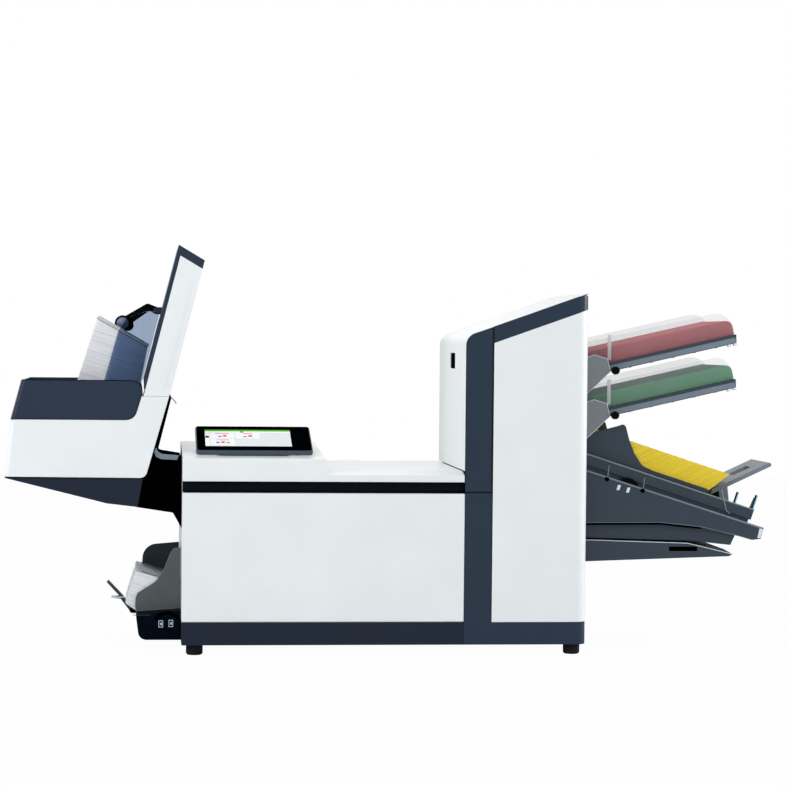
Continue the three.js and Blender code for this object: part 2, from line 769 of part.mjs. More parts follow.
// Collator cover: white left face and roof in one shell, with the latch slot
function addCollatorCover() {
  const low = lidTop + shutLine;
  const line = (inset, x) => towerTop(x) - inset;
  const inner = stripLeft + coverWall;
  const right = bodyWidth - seat;
  const shell = slabY(rounded([
    [stripLeft, low],
    [stripLeft, line(0, stripLeft)],
    [right, line(0, right)],
    [right, line(coverWall, right)],
    [inner, line(coverWall, inner)],
    [inner, low],
  ], [0, stripRadius, 0, 0, stripRadius - coverWall, 0]), stripDepth + seat, bodyDepth);
  const slotFront = paperCentre - slotWidth / 2 - slotShift;
  const slot = block(stripLeft - overrun, inner + overrun, slotFront, slotFront + slotWidth, slotRise,
    slotRise + slotHeight);
  addPiece("collator_cover", cut(shell, slot), whiteCover);
  const plateLeft = inner + seat;
  const cupDepth = latchDepth - coverWall;
  const cup = block(plateLeft, plateLeft + latchDepth, slotFront - latchLap, slotFront + slotWidth + latchLap,
    slotRise - latchLap, slotRise + slotHeight + latchLap + latchTravel);
  const pocket = block(plateLeft - overrun, plateLeft + cupDepth, slotFront - latchWall, slotFront + slotWidth + latchWall,
    slotRise - latchWall, slotRise + slotHeight + latchWall + latchTravel);
  addPiece("cover_latch", cut(cup, pocket), blackPlastic);
}

// Fold rollers and the drive motor between the frame plates
function addDrive() {
  const front = frameFront + plateWall + seat;
  const back = frameBack - plateWall - seat;
  foldRollerPlaces.forEach((place, index) => {
    const roller = join(rodY(place, foldRollerRadius, front + rollerRadius, back - rollerRadius, 32),
      rodY(place, shaftRadius, front, back, 16));
    addPiece(["fold_roller_lower", "fold_roller_upper"][index], roller, rubber);
  });
  const body = rodY(motorPlace, motorRadius, back - motorLength, back, 32);
  const shaft = rodY(motorPlace, shaftRadius, back - overrun, frameBack + rollerRadius, 16);
  addPiece("drive_motor", join(body, shaft), steel);
}

// Mains inlet with the switch beside it, both set into the rear cover
function addPower() {
  const [x, z] = inletPlace;
  const face = bodyDepth - coverWall - seat;
  const flange = block(x - inletWidth / 2 - inletFlange, switchPlace[0] + switchWidth / 2 + switchWall + inletFlange,
    face - inletFlange, face, z - inletHeight / 2 - inletFlange, z + inletHeight / 2 + inletFlange);
  const body = block(x - inletWidth / 2, switchPlace[0] + switchWidth / 2 + switchWall, face - inletDepth, face,
    z - inletHeight / 2, z + inletHeight / 2);
  const socket = block(x - inletWidth / 2 + inletCavityMargin, x + inletWidth / 2 - inletCavityMargin,
    face - inletDepth + inletFlange, face + overrun, z - inletHeight / 2 + inletCavityMargin / 2,
    z + inletHeight / 2 - inletCavityMargin / 2);
  const pinGap = inletWidth / 8;
  const pins = [-1, 0, 1].map((side) => block(x + side * pinGap - shutLine, x + side * pinGap + shutLine,
    face - inletDepth + inletFlange / 2, face - inletFlange, z - plateWall, z + plateWall));
  const pocket = block(switchPlace[0] - switchWidth / 2 - seat, switchPlace[0] + switchWidth / 2 + seat,
    face - switchThickness - plateWall * 2, face + overrun, switchPlace[1] - switchHeight / 2 - shutLine,
    switchPlace[1] + switchHeight / 2 + shutLine);
  addPiece("mains_inlet", join(cut(join(flange, body), socket, pocket), ...pins), blackPlastic);
  const half = switchHeight / 2;
  const back = face - seat * 2;
  const rocker = slabX([
    [back - switchThickness, switchPlace[1] - half],
    [back, switchPlace[1] - half],
    [back - shutLine, switchPlace[1]],
    [back, switchPlace[1] + half],
    [back - switchThickness, switchPlace[1] + half],
  ], switchPlace[0] - switchWidth / 2, switchPlace[0] + switchWidth / 2);
  addPiece("rocker_switch", rocker, blackPlastic);
}

// One document station: bracket, tray, paper, two clear guides, knob and feed roller
function addStation(station) {
  const tag = `${station + 1}`;
  const paper = [greenPaper, redPaper][station];
  const level = stationRise + station * stationPitch;
  const at = tiltedFrame(bodyWidth, level, stationTilt);
  const map = (points) => points.map(at);
  const near = paperCentre - trayWidth / 2;
  const far = paperCentre + trayWidth / 2;
  const tray = slabY(rounded(map([[trayStart, 0], [trayStart, -trayThickness], [trayLength - trayWell, -trayThickness],
    [trayLength, 0]]), [0, trayWell, trayWell, 0]), near, far);
  const bay = (trayLength - trayStart) / trayBays;
  const wells = Array.from({ length: trayBays }, (_, index) => slabY(map([
    [trayStart + index * bay + trayWell, -trayWell],
    [trayStart + index * bay + trayWell, -trayThickness - overrun],
    [trayStart + (index + 1) * bay - trayWell, -trayThickness - overrun],
    [trayStart + (index + 1) * bay - trayWell, -trayWell],
  ]), near + trayWell, far - trayWell));
  addPiece(`document_tray_${tag}`, cut(tray, ...wells), greyPlastic);

  const stack = slabY(rounded(map([[-docStackReach, seat], [docStackLength, seat], [docStackLength, docStackHeight],
    [-docStackReach, docStackHeight]]), [0, 0, docStackRadius, 0]),
  paperCentre - sheetWidth / 2, paperCentre + sheetWidth / 2);
  addPiece(`document_stack_${tag}`, stack, paper);

  const lean = Math.tan(THREE.MathUtils.degToRad(stationTilt));
  const guideOutline = rounded(map([
    [trayStart, seat],
    [trayLength, seat],
    [trayLength, docGuideHeight],
    [trayStart + docGuideHeight * lean, docGuideHeight],
  ]), [0, 0, docGuideRadius, 0], 8);
  const ribOutline = map([
    [docGuideRibPlace, seat],
    [docGuideRibPlace + docGuideRib, seat],
    [docGuideRibPlace + docGuideRib, docGuideHeight],
    [docGuideRibPlace, docGuideHeight],
  ]);
  const inner = sheetWidth / 2 + sideClearance;
  const outer = inner + docGuideWall;
  addPiece(`guide_near_${tag}`, join(
    slabY(guideOutline, paperCentre - outer, paperCentre - inner),
    slabY(ribOutline, paperCentre - outer - docGuideRibDepth, paperCentre - inner - docGuideWall / 2),
  ), clearPlastic);
  addPiece(`guide_far_${tag}`, join(
    slabY(guideOutline, paperCentre + inner, paperCentre + outer),
    slabY(ribOutline, paperCentre + inner + docGuideWall / 2, paperCentre + outer + docGuideRibDepth),
  ), clearPlastic);

  const cheek = [
    [feedFace, level - bracketDrop],
    at([bracketReach * bracketShares[0], -bracketDrop * bracketShares[1]]),
    at([bracketReach, -trayThickness]),
    at([bracketReach, bracketTop * bracketShares[2]]),
    at([bracketReach * bracketShares[3], bracketTop]),
    [feedFace, level + bracketTop * bracketShares[4]],
  ];
  const nearCheek = slabY(cheek, near - seat - bracketWall, near - seat);
  const farCheek = slabY(cheek, far + seat, far + seat + bracketWall);
  const barPlace = at([bracketReach / 2, -trayThickness - seat - bracketGap]);
  const bar = rodY(barPlace, bracketGap, near - seat - bracketWall / 2, far + seat + bracketWall / 2, 16);
  addPiece(`feed_bracket_${tag}`, join(nearCheek, farCheek, bar), greyPlastic);

  const knobAt = at([knobPlace, -trayThickness]);
  addPiece(`guide_knob_${tag}`, knurledWheelY(knobAt, knobRadius, near - seat - knobLength, near - seat, 10,
    shutLine), blackPlastic);

  const rollerAt = at([-feedRollerReach, docStackHeight + seat + rollerRadius]);
  const shaftFront = frameFront + plateWall + seat;
  const shaftBack = frameBack - plateWall - seat;
  addPiece(`feed_roller_${tag}`, join(rodY(rollerAt, rollerRadius, paperCentre - sheetWidth / 2 * feedRollerShare,
    paperCentre + sheetWidth / 2 * feedRollerShare, 24), rodY(rollerAt, shaftRadius, shaftFront, shaftBack, 12)),
  rubber);
}

// Insert feeder: housing, rail, guides, thumbwheel, pusher, inserts and lower tray
function addInsertFeeder() {
  const left = feedFace;
  const at = tiltedFrame(bodyWidth, insertRise, -insertTilt);
  const map = (points) => points.map(at);
  const near = paperCentre - housingWidth / 2;
  const far = paperCentre + housingWidth / 2;
  const upper = spread(housingShares, left, housingLow, housingLength, housingHeight);
  const lower = spread(housingFootShares, left, housingLow, housingLength, housingHeight);
  const openLeft = (points) => shrunk(points, stackerWall).map((point) =>
    (point.x < left + stackerWall * 2 ? [left - overrun, point.y] : [point.x, point.y]));
  const wheelFront = near + stackerWall;
  const wheelBack = wheelFront + insertWheelWidth + seat * 2;
  const wheelAt = [bodyWidth + insertWheelReach, insertWheelLevel];
  const railLine = (x) => insertRise - (x - bodyWidth) * Math.tan(THREE.MathUtils.degToRad(insertTilt));
  const railDrop = (railThickness + seat) / Math.cos(THREE.MathUtils.degToRad(insertTilt));
  const struts = strutPlaces.map((place) => {
    const x = bodyWidth + place;
    return slabY([
      [x, railLine(x) - railDrop - strutHeight],
      [x + strutWidth, railLine(x + strutWidth) - railDrop - strutHeight],
      [x + strutWidth, railLine(x + strutWidth) - railDrop],
      [x, railLine(x) - railDrop],
    ], paperCentre - railWidth / 2 + plateWall, paperCentre + railWidth / 2 - plateWall);
  });
  const shell = cut(join(slabY(upper, near, far), slabY(lower, near + housingStep, far - housingStep), ...struts),
    slabY(openLeft(upper), near + stackerWall * 2 + insertWheelWidth + shutLine, far - stackerWall),
    slabY(openLeft(lower), near + housingStep + stackerWall, far - housingStep - stackerWall),
    rodY(wheelAt, insertWheelRadius + shutLine / 2, wheelFront, wheelBack, 32));
  addPiece("insert_housing", shell, greyPlastic);
  addPiece("insert_thumbwheel", knurledWheelY(wheelAt, insertWheelRadius, wheelFront + seat, wheelBack - seat, 24,
    shutLine), blackPlastic);

  const railNear = paperCentre - railWidth / 2;
  const railFar = paperCentre + railWidth / 2;
  const beam = slabY(map([[railStart, 0], [railStart, -railThickness], [railLength, -railThickness],
    [railLength, 0]]), railNear, railFar);
  const prong = (front) => slabY(map([[railLength - prongWidth * 2, -plateWall], [railLength - prongWidth, -plateWall],
    [railLength - prongWidth / 2, prongHeight], [railLength - prongWidth * 3 / 2, prongHeight]]),
  front, front + prongDepth);
  const railRoom = slabY(map([[railStart + plateWall, -plateWall], [railStart + plateWall, -railThickness - overrun],
    [railLength - plateWall, -railThickness - overrun], [railLength - plateWall, -plateWall]]),
  railNear + plateWall, railFar - plateWall);
  addPiece("insert_rail", join(cut(beam, railRoom), prong(railNear), prong(railFar - prongDepth)), greyPlastic);

  const stack = slabY(map([[-insertReach, seat], [insertStackLength, seat],
    [insertStackLength + insertStackLean, insertStackHeight], [-insertReach, insertStackHeight]]),
  paperCentre - sheetWidth / 2, paperCentre + sheetWidth / 2);
  addPiece("insert_stack", stack, yellowPaper);

  const inner = sheetWidth / 2 + sideClearance;
  const outer = inner + insertGuideWall;
  const guide = rounded(map(insertGuideShares.map(([run, rise]) =>
    [railStart + insertGuideLength * run, seat + insertGuideHeight * rise])), insertGuideRadii, 4);
  addPiece("insert_guide_near", slabY(guide, paperCentre - outer, paperCentre - inner), greyPlastic);
  addPiece("insert_guide_far", slabY(guide, paperCentre + inner, paperCentre + outer), greyPlastic);

  addPiece("insert_pusher", pusherSolid(at), greyPlastic);

  const trayOutline = spread(lowerTrayShares, left, lowerTrayLow, lowerTrayLength, lowerTrayHeight);
  const trayNear = paperCentre - lowerTrayWidth / 2;
  const trayFar = paperCentre + lowerTrayWidth / 2;
  const trayRoom = slabY(openLeft(trayOutline), trayNear + stackerWall, trayFar - stackerWall);
  const recessLeft = left + lowerTrayLength * recessShare;
  const recess = block(recessLeft, recessLeft + recessLength, trayNear - overrun, trayNear + stackerWall + overrun,
    lowerTrayLow + lowerTrayHeight * recessLevelShare, lowerTrayLow + lowerTrayHeight * recessLevelShare + recessDepth);
  addPiece("lower_tray", cut(slabY(trayOutline, trayNear, trayFar), trayRoom, recess), greyPlastic);
}

// Insert pusher: a slotted ramp on a post that slides along the rail
function pusherSolid(at) {
  const foot = at([pusherPlace, seat]);
  const ramp = tiltedFrame(foot[0], foot[1], pusherTilt);
  const plate = slabY(rounded([ramp([0, 0]), ramp([pusherLength, 0]), ramp([pusherLength, pusherThickness]),
    ramp([pusherThickness, pusherThickness])], [0, edgeRadius, edgeRadius, 0], 3),
  paperCentre - pusherWidth / 2, paperCentre + pusherWidth / 2);
  const slotStart = pusherLength * pusherSlotShare;
  const slot = slabY([ramp([slotStart, -overrun]), ramp([slotStart + pusherSlotLength, -overrun]),
    ramp([slotStart + pusherSlotLength, pusherThickness + overrun]), ramp([slotStart, pusherThickness + overrun])],
  paperCentre - pusherSlotWidth / 2, paperCentre + pusherSlotWidth / 2);
  const postStart = pusherPlace + pusherPost;
  const post = slabY([at([postStart, seat]), at([postStart + pusherPost, seat]),
    ramp([pusherPost * 2, pusherThickness / 2]), ramp([pusherPost, pusherThickness / 2])],
  paperCentre - pusherWidth / 2, paperCentre + pusherWidth / 2);
  return cut(join(plate, post), slot);
}

// Envelope hopper low on the left: housing, guides, thumbwheel, lever and envelopes
function addHopper() {
  const near = paperCentre - hopperWidth / 2;
  const far = paperCentre + hopperWidth / 2;
  const left = -seat - hopperLength;
  const outline = rounded(spread(hopperShares, left, hopperLow, hopperLength, hopperHeight), hopperRadii);
  const inside = shrunk(spread(hopperShares, left, hopperLow, hopperLength, hopperHeight), stackerWall)
    .map((point) => (point.x > -stackerWall * 2 ? [overrun, point.y] : [point.x, point.y]));
  const wheelFront = near + plateWall;
  const wheelBack = wheelFront + hopperWheelWidth + seat * 2;
  const level = block(left, 0, near - overrun, wheelFront + seat, hopperWheelLevel, hopperWheelLevel * 2);
  const arc = cut(rodY(hopperWheelPlace, hopperWheelRadius + shutLine / 2, near - overrun, wheelFront + seat, 40),
    rodY(hopperWheelPlace, hopperWheelCover, near - overrun * 2, wheelFront + overrun, 40)).intersect(level);
  const room = slabY(inside, wheelBack + plateWall, far - stackerWall);
  const ear = (front) => join(rodY(leverHubPlace, leverHubRadius, front, front + plateWall, 16),
    slabY([
      [leverHubPlace[0], leverHubPlace[1] - leverHubRadius],
      [left + hopperLength * earShare, leverHubPlace[1] - leverHubRadius],
      [left + hopperLength * earShare, leverHubPlace[1] + leverHubRadius],
      [leverHubPlace[0], leverHubPlace[1] + leverHubRadius],
    ], front, front + plateWall));
  const earIn = leverWidth / 2 + seat;
  const hubPin = rodY(leverHubPlace, leverHubRadius / 2, paperCentre - earIn - plateWall / 2,
    paperCentre + earIn + plateWall / 2, 16);
  addPiece("hopper_housing", join(cut(slabY(outline, near, far), room, arc,
    rodY(hopperWheelPlace, hopperWheelRadius + shutLine / 2, wheelFront, wheelBack, 40)),
  ear(paperCentre - earIn - plateWall), ear(paperCentre + earIn), hubPin), navyTrim);
  addPiece("hopper_thumbwheel", knurledWheelY(hopperWheelPlace, hopperWheelRadius, wheelFront + seat,
    wheelBack - seat, 26, shutLine), blackPlastic);

  const lever = slabY(spread(leverShares, leverLeft, leverLow, leverLength, leverHeight),
    paperCentre - leverWidth / 2, paperCentre + leverWidth / 2);
  const hub = rodY(leverHubPlace, leverHubRadius, paperCentre - leverWidth / 2, paperCentre + leverWidth / 2, 20);
  const bore = rodY(leverHubPlace, leverHubRadius / 2 + seat, paperCentre - leverWidth, paperCentre + leverWidth, 16);
  addPiece("hopper_lever", cut(join(lever, hub), bore), blackPlastic);

  const inner = envelopeWidth / 2 + sideClearance;
  const outer = inner + hopperGuideWall;
  const guide = (shares, radii) => rounded(spread(shares, -shutLine - hopperGuideLength, hopperGuideLow,
    hopperGuideLength, hopperGuideHeight), radii);
  addPiece("hopper_guide_near", slabY(guide(nearGuideShares, nearGuideRadii), paperCentre - outer,
    paperCentre - inner), guidePlastic);
  addPiece("hopper_guide_far", slabY(guide(farGuideShares, farGuideRadii), paperCentre + inner,
    paperCentre + outer), guidePlastic);
  addPiece("hopper_envelopes", slabY(spread(hopperPileShares, -hopperPileReach, hopperPileLow, hopperPileLength,
    hopperPileHeight), paperCentre - envelopeWidth / 2, paperCentre + envelopeWidth / 2), whitePaper);
}

// Lines of the leaning stacker column
const columnTan = Math.tan(THREE.MathUtils.degToRad(columnLean));
const columnLeft = (z) => columnFoot + (z - columnSeam) * columnTan;
const columnPoint = (z, across) => [columnLeft(z) + across, z];

// Height on a line that falls by the cap slope from a start height, above the column's own left line
function capHeight(startHeight, across) {
  const capTan = (columnHighZ - columnLowZ) / (columnLeft(columnLowZ) + columnWidth - columnLeft(columnHighZ));
  const run = columnLeft(startHeight) - columnFoot;
  return columnSeam + ((startHeight - columnSeam) + capTan * (run - across)) / (1 + capTan * columnTan);
}

// A limb with round ends between two points in X and Z.
function limb(start, startRadius, end, endRadius, front, back) {
  const direction = new THREE.Vector2(end[0] - start[0], end[1] - start[1]).normalize();
  const side = [-direction.y, direction.x];
  const edge = (point, radius) => [point[0] + side[0] * radius, point[1] + side[1] * radius];
  return join(rodY(start, startRadius, front, back, 20), rodY(end, endRadius, front, back, 20),
    slabY([edge(start, -startRadius), edge(end, -endRadius), edge(end, endRadius), edge(start, startRadius)],
      front, back));
}

// High capacity stacker: bracket, wedge, shell, tray, column, trim, guide, press arm and roller
function addStacker() {
  const front = stackerFront;
  const back = stackerFront + stackerDepth;
  const inFront = front + stackerWall;
  const inBack = back - stackerWall;
  const fit = (shares) => spread(shares, shellLeft, shellLow, shellLength, shellHeight);
  addPiece("stacker_shell", cut(
    slabY(rounded(fit(shellShares), shellRadii), front, back),
    slabY(fit(binShares), inFront, inBack),
    slabY(fit(ductShares), inFront, inBack),
    envelopePath(),
  ), whiteCover);

  const trayOuter = spread(binRimShares, rimLeft, rimLow, rimLength, rimHeight);
  const [lowLeft, lowRight, highRight, highLeft] = trayOuter;
  const trayInner = [
    [lowLeft[0] + stackerWall, lowLeft[1] - overrun],
    [lowRight[0] - stackerWall, lowRight[1] - overrun],
    [highRight[0] - stackerWall, highRight[1] + overrun],
    [highLeft[0] + stackerWall, highLeft[1] + overrun],
  ];
  addPiece("stacker_rim", cut(slabY(rounded(trayOuter, binRimRadii), front, back),
    slabY(trayInner, inFront, inBack)), navyTrim);

  const wedge = spread(wedgeOutlineShares, shellLeft, shellLow - wedgeHeight - seat, shellLength, wedgeHeight);
  const wedgeRoom = shrunk(wedge, stackerWall).map((point, index) =>
    (index === 0 || index === 3 ? [point.x, shellLow + overrun] : [point.x, point.y]));
  const wedgeShell = cut(slabY(wedge, front + wedgeInset, back - wedgeInset),
    slabY(wedgeRoom, front + wedgeInset + stackerWall, back - wedgeInset - stackerWall));
  const bracket = spread(bracketOutlineShares, -shutLine / 2 - mountLength, mountLow, mountLength, mountHeight);
  addPiece("stacker_bracket", join(wedgeShell, cut(slabY(bracket, front + wedgeInset, back - wedgeInset),
    envelopePath())), blackPlastic);

  const wallIn = trimWidth + seat;
  const low = columnSeam + seat;
  const column = [
    columnPoint(low, wallIn),
    columnPoint(low, columnWidth),
    columnPoint(columnLowZ - topBandHeight - seat, columnWidth),
    columnPoint(capHeight(columnHighZ - topBandHeight - seat, wallIn), wallIn),
  ];
  const columnRoom = [
    columnPoint(low - overrun, wallIn + plateWall),
    columnPoint(low - overrun, columnWidth - plateWall),
    columnPoint(columnLowZ + overrun, columnWidth - plateWall),
    columnPoint(columnHighZ + overrun, wallIn + plateWall),
  ];
  const exit = block(columnLeft(exitLow) - overrun, columnLeft(exitLow + exitHeight) + wallIn + plateWall + seat,
    paperCentre - envelopeWidth / 2 - sideClearance, paperCentre + envelopeWidth / 2 + sideClearance,
    exitLow, exitLow + exitHeight);
  addPiece("stacker_column", cut(slabY(column, front, back), exit,
    slabY(columnRoom, front + plateWall, back - plateWall)), whiteCover);

  const trimLow = rimLow + rimHeight + shutLine;
  const trim = slabY([
    columnPoint(trimLow, 0),
    columnPoint(trimLow, trimWidth),
    columnPoint(capHeight(columnHighZ - topBandHeight, trimWidth), trimWidth),
    columnPoint(columnLowZ - topBandHeight, columnWidth),
    columnPoint(columnLowZ, columnWidth),
    columnPoint(columnHighZ, 0),
  ], front, back);
  const earIn = armWidth / 2 + seat;
  const ear = (start) => limb(armPivot, armHubRadius, [columnLeft(armPivot[1]) + trimWidth / 2, armPivot[1]],
    armHubRadius, start, start + plateWall);
  const earPin = rodY(armPivot, pressPin, paperCentre - earIn - plateWall / 2, paperCentre + earIn + plateWall / 2, 16);
  const columnSide = slabY(column.map(([x, z]) => [x - seat, z]), front - overrun, back + overrun);
  addPiece("column_trim", join(cut(trim, exit), cut(join(ear(paperCentre - earIn - plateWall), ear(paperCentre + earIn)),
    columnSide), earPin), navyTrim);

  const armFront = paperCentre - armWidth / 2;
  const armBack = paperCentre + armWidth / 2;
  const arm = cut(join(limb(armPivot, armHubRadius, armElbow, armHubRadius - shutLine, armFront, armBack),
    limb(armElbow, armHubRadius - shutLine, pressPlace, pressRadius * armEndShare, armFront, armBack)),
  rodY(armPivot, pressPin + seat, armFront - overrun, armBack + overrun, 16),
  rodY(pressPlace, pressPin + seat, armFront - overrun, armBack + overrun, 16));
  addPiece("press_arm", arm, blackPlastic);
  addPiece("press_roller", join(rodY(pressPlace, pressRadius, armBack + seat, armBack + seat + pressWidth, 32),
    rodY(pressPlace, pressPin, armFront, armBack + overrun, 16)), rubber);

  addPiece("stacked_envelopes", slabY(spread(pileShares, shellLeft + pileStart, pileLow, pileLength, pileHeight),
    paperCentre - envelopeWidth / 2, paperCentre + envelopeWidth / 2), whitePaper);
  const guideInner = envelopeWidth / 2 + sideClearance;
  addPiece("stacker_side_guide", slabY(spread(stackerGuideShares, shellLeft + stackerGuideStart, pileLow,
    stackerGuideLength, stackerGuideHeight), paperCentre - guideInner - stackerGuideWall, paperCentre - guideInner),
  clearPlastic);
}

addFeet();
addBase();
addMainFrame();
addRearCover();
addGripChannel();
addTowerSide();
addCollatorStrip();
addFrontDoor();
addTopLid();
addDisplay();
addCollatorCover();
addDrive();
addPower();
for (let station = 0; station < stationCount; station += 1) {
  addStation(station);
}
addInsertFeeder();
addHopper();
addStacker();

// The origin lies under the middle of the whole machine, on the floor.
const bounds = new THREE.Box3().setFromObject(machine);
const middle = bounds.getCenter(new THREE.Vector3());
machine.position.set(-middle.x, -middle.y, -bounds.min.z);

export default machine;
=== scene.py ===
"""Looks of the desk-side envelope inserting machine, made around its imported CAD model.

Sizes are in millimetres in the machine's own frame: x from the body's left side, y back from its
front face, z up from the floor. The class Bench turns them into metres of the row frame.
"""

import itertools
import logging
import math
from dataclasses import dataclass, field
from enum import Enum
from typing import Sequence

import bmesh
import bpy
from mathutils import Matrix, Vector
from mathutils.geometry import convex_hull_2d


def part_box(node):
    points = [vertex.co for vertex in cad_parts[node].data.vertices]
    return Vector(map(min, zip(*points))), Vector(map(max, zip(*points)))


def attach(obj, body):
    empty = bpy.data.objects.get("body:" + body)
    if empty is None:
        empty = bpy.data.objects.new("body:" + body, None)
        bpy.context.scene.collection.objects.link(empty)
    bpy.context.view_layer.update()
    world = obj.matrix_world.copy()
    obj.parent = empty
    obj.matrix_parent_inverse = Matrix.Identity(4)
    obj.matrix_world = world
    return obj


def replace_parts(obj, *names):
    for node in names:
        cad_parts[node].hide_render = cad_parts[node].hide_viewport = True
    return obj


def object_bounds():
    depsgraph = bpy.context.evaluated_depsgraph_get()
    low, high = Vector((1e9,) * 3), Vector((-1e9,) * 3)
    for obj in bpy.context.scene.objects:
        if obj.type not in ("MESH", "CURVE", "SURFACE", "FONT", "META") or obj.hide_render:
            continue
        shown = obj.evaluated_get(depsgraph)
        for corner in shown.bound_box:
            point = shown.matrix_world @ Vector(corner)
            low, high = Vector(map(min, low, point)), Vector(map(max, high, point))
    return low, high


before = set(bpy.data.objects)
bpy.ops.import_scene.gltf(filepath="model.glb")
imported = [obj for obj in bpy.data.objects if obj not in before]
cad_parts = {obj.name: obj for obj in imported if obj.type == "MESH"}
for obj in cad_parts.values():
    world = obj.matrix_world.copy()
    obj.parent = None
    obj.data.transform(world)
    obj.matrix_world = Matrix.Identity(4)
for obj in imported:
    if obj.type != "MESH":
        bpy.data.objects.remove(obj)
CAD_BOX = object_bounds()
MM = 0.001  # one millimetre in the row frame's metres
WELD = 0.001  # millimetres below which two corners of a solid are one
FLAT_ANGLE = 0.5  # degrees below which neighbouring triangles are one flat face
SMOOTH_ANGLE = 35.0  # degrees below which an edge is shaded as a round
FACING = 0.99  # how squarely a face looks along an axis to count as an end of it
ROUND_STEPS = 2  # steps across every softened edge
ORDER = Vector((1.0, 0.618, 0.414))  # the line along which corners and faces are put, the same in each run
NOISE_ROUGHNESS = 0.55
WHITE = (1.0, 1.0, 1.0, 1.0)
MIX_FIRST, MIX_SECOND, MIX_COLOUR = 6, 7, 2  # the Mix node's two colour inputs and its colour output
LOG = logging.getLogger("inserter")

Point = tuple[float, float, float]
Flat = tuple[float, float]


class Body(Enum):
    """The machine's bodies that scene pieces ride on."""

    CHASSIS = "chassis"
    LID = "lid"
    ARM = "arm"
    ARM_ROLLER = "arm_roller"
    LEVER = "envelope_lever"
    NEAR_GUIDE_1 = "near_guide_1"
    NEAR_GUIDE_2 = "near_guide_2"
    HOPPER_NEAR = "hopper_near_guide"
    HOPPER_FAR = "hopper_far_guide"


class Axis(Enum):
    """A direction of the machine: x to the right, y to the back, z up."""

    X = 0
    Y = 1
    Z = 2


def linear(code: str) -> tuple[float, float, float, float]:
    """Turns a written screen colour into the linear one that shaders take.

    Args:
        code: six hexadecimal digits, red first.

    Returns:
        Linear red, green, blue and an alpha of one.
    """
    shares = [int(code[at:at + 2], 16) / 255 for at in (0, 2, 4)]
    bent = [share / 12.92 if share <= 0.04045 else ((share + 0.055) / 1.055) ** 2.4 for share in shares]
    return bent[0], bent[1], bent[2], 1.0


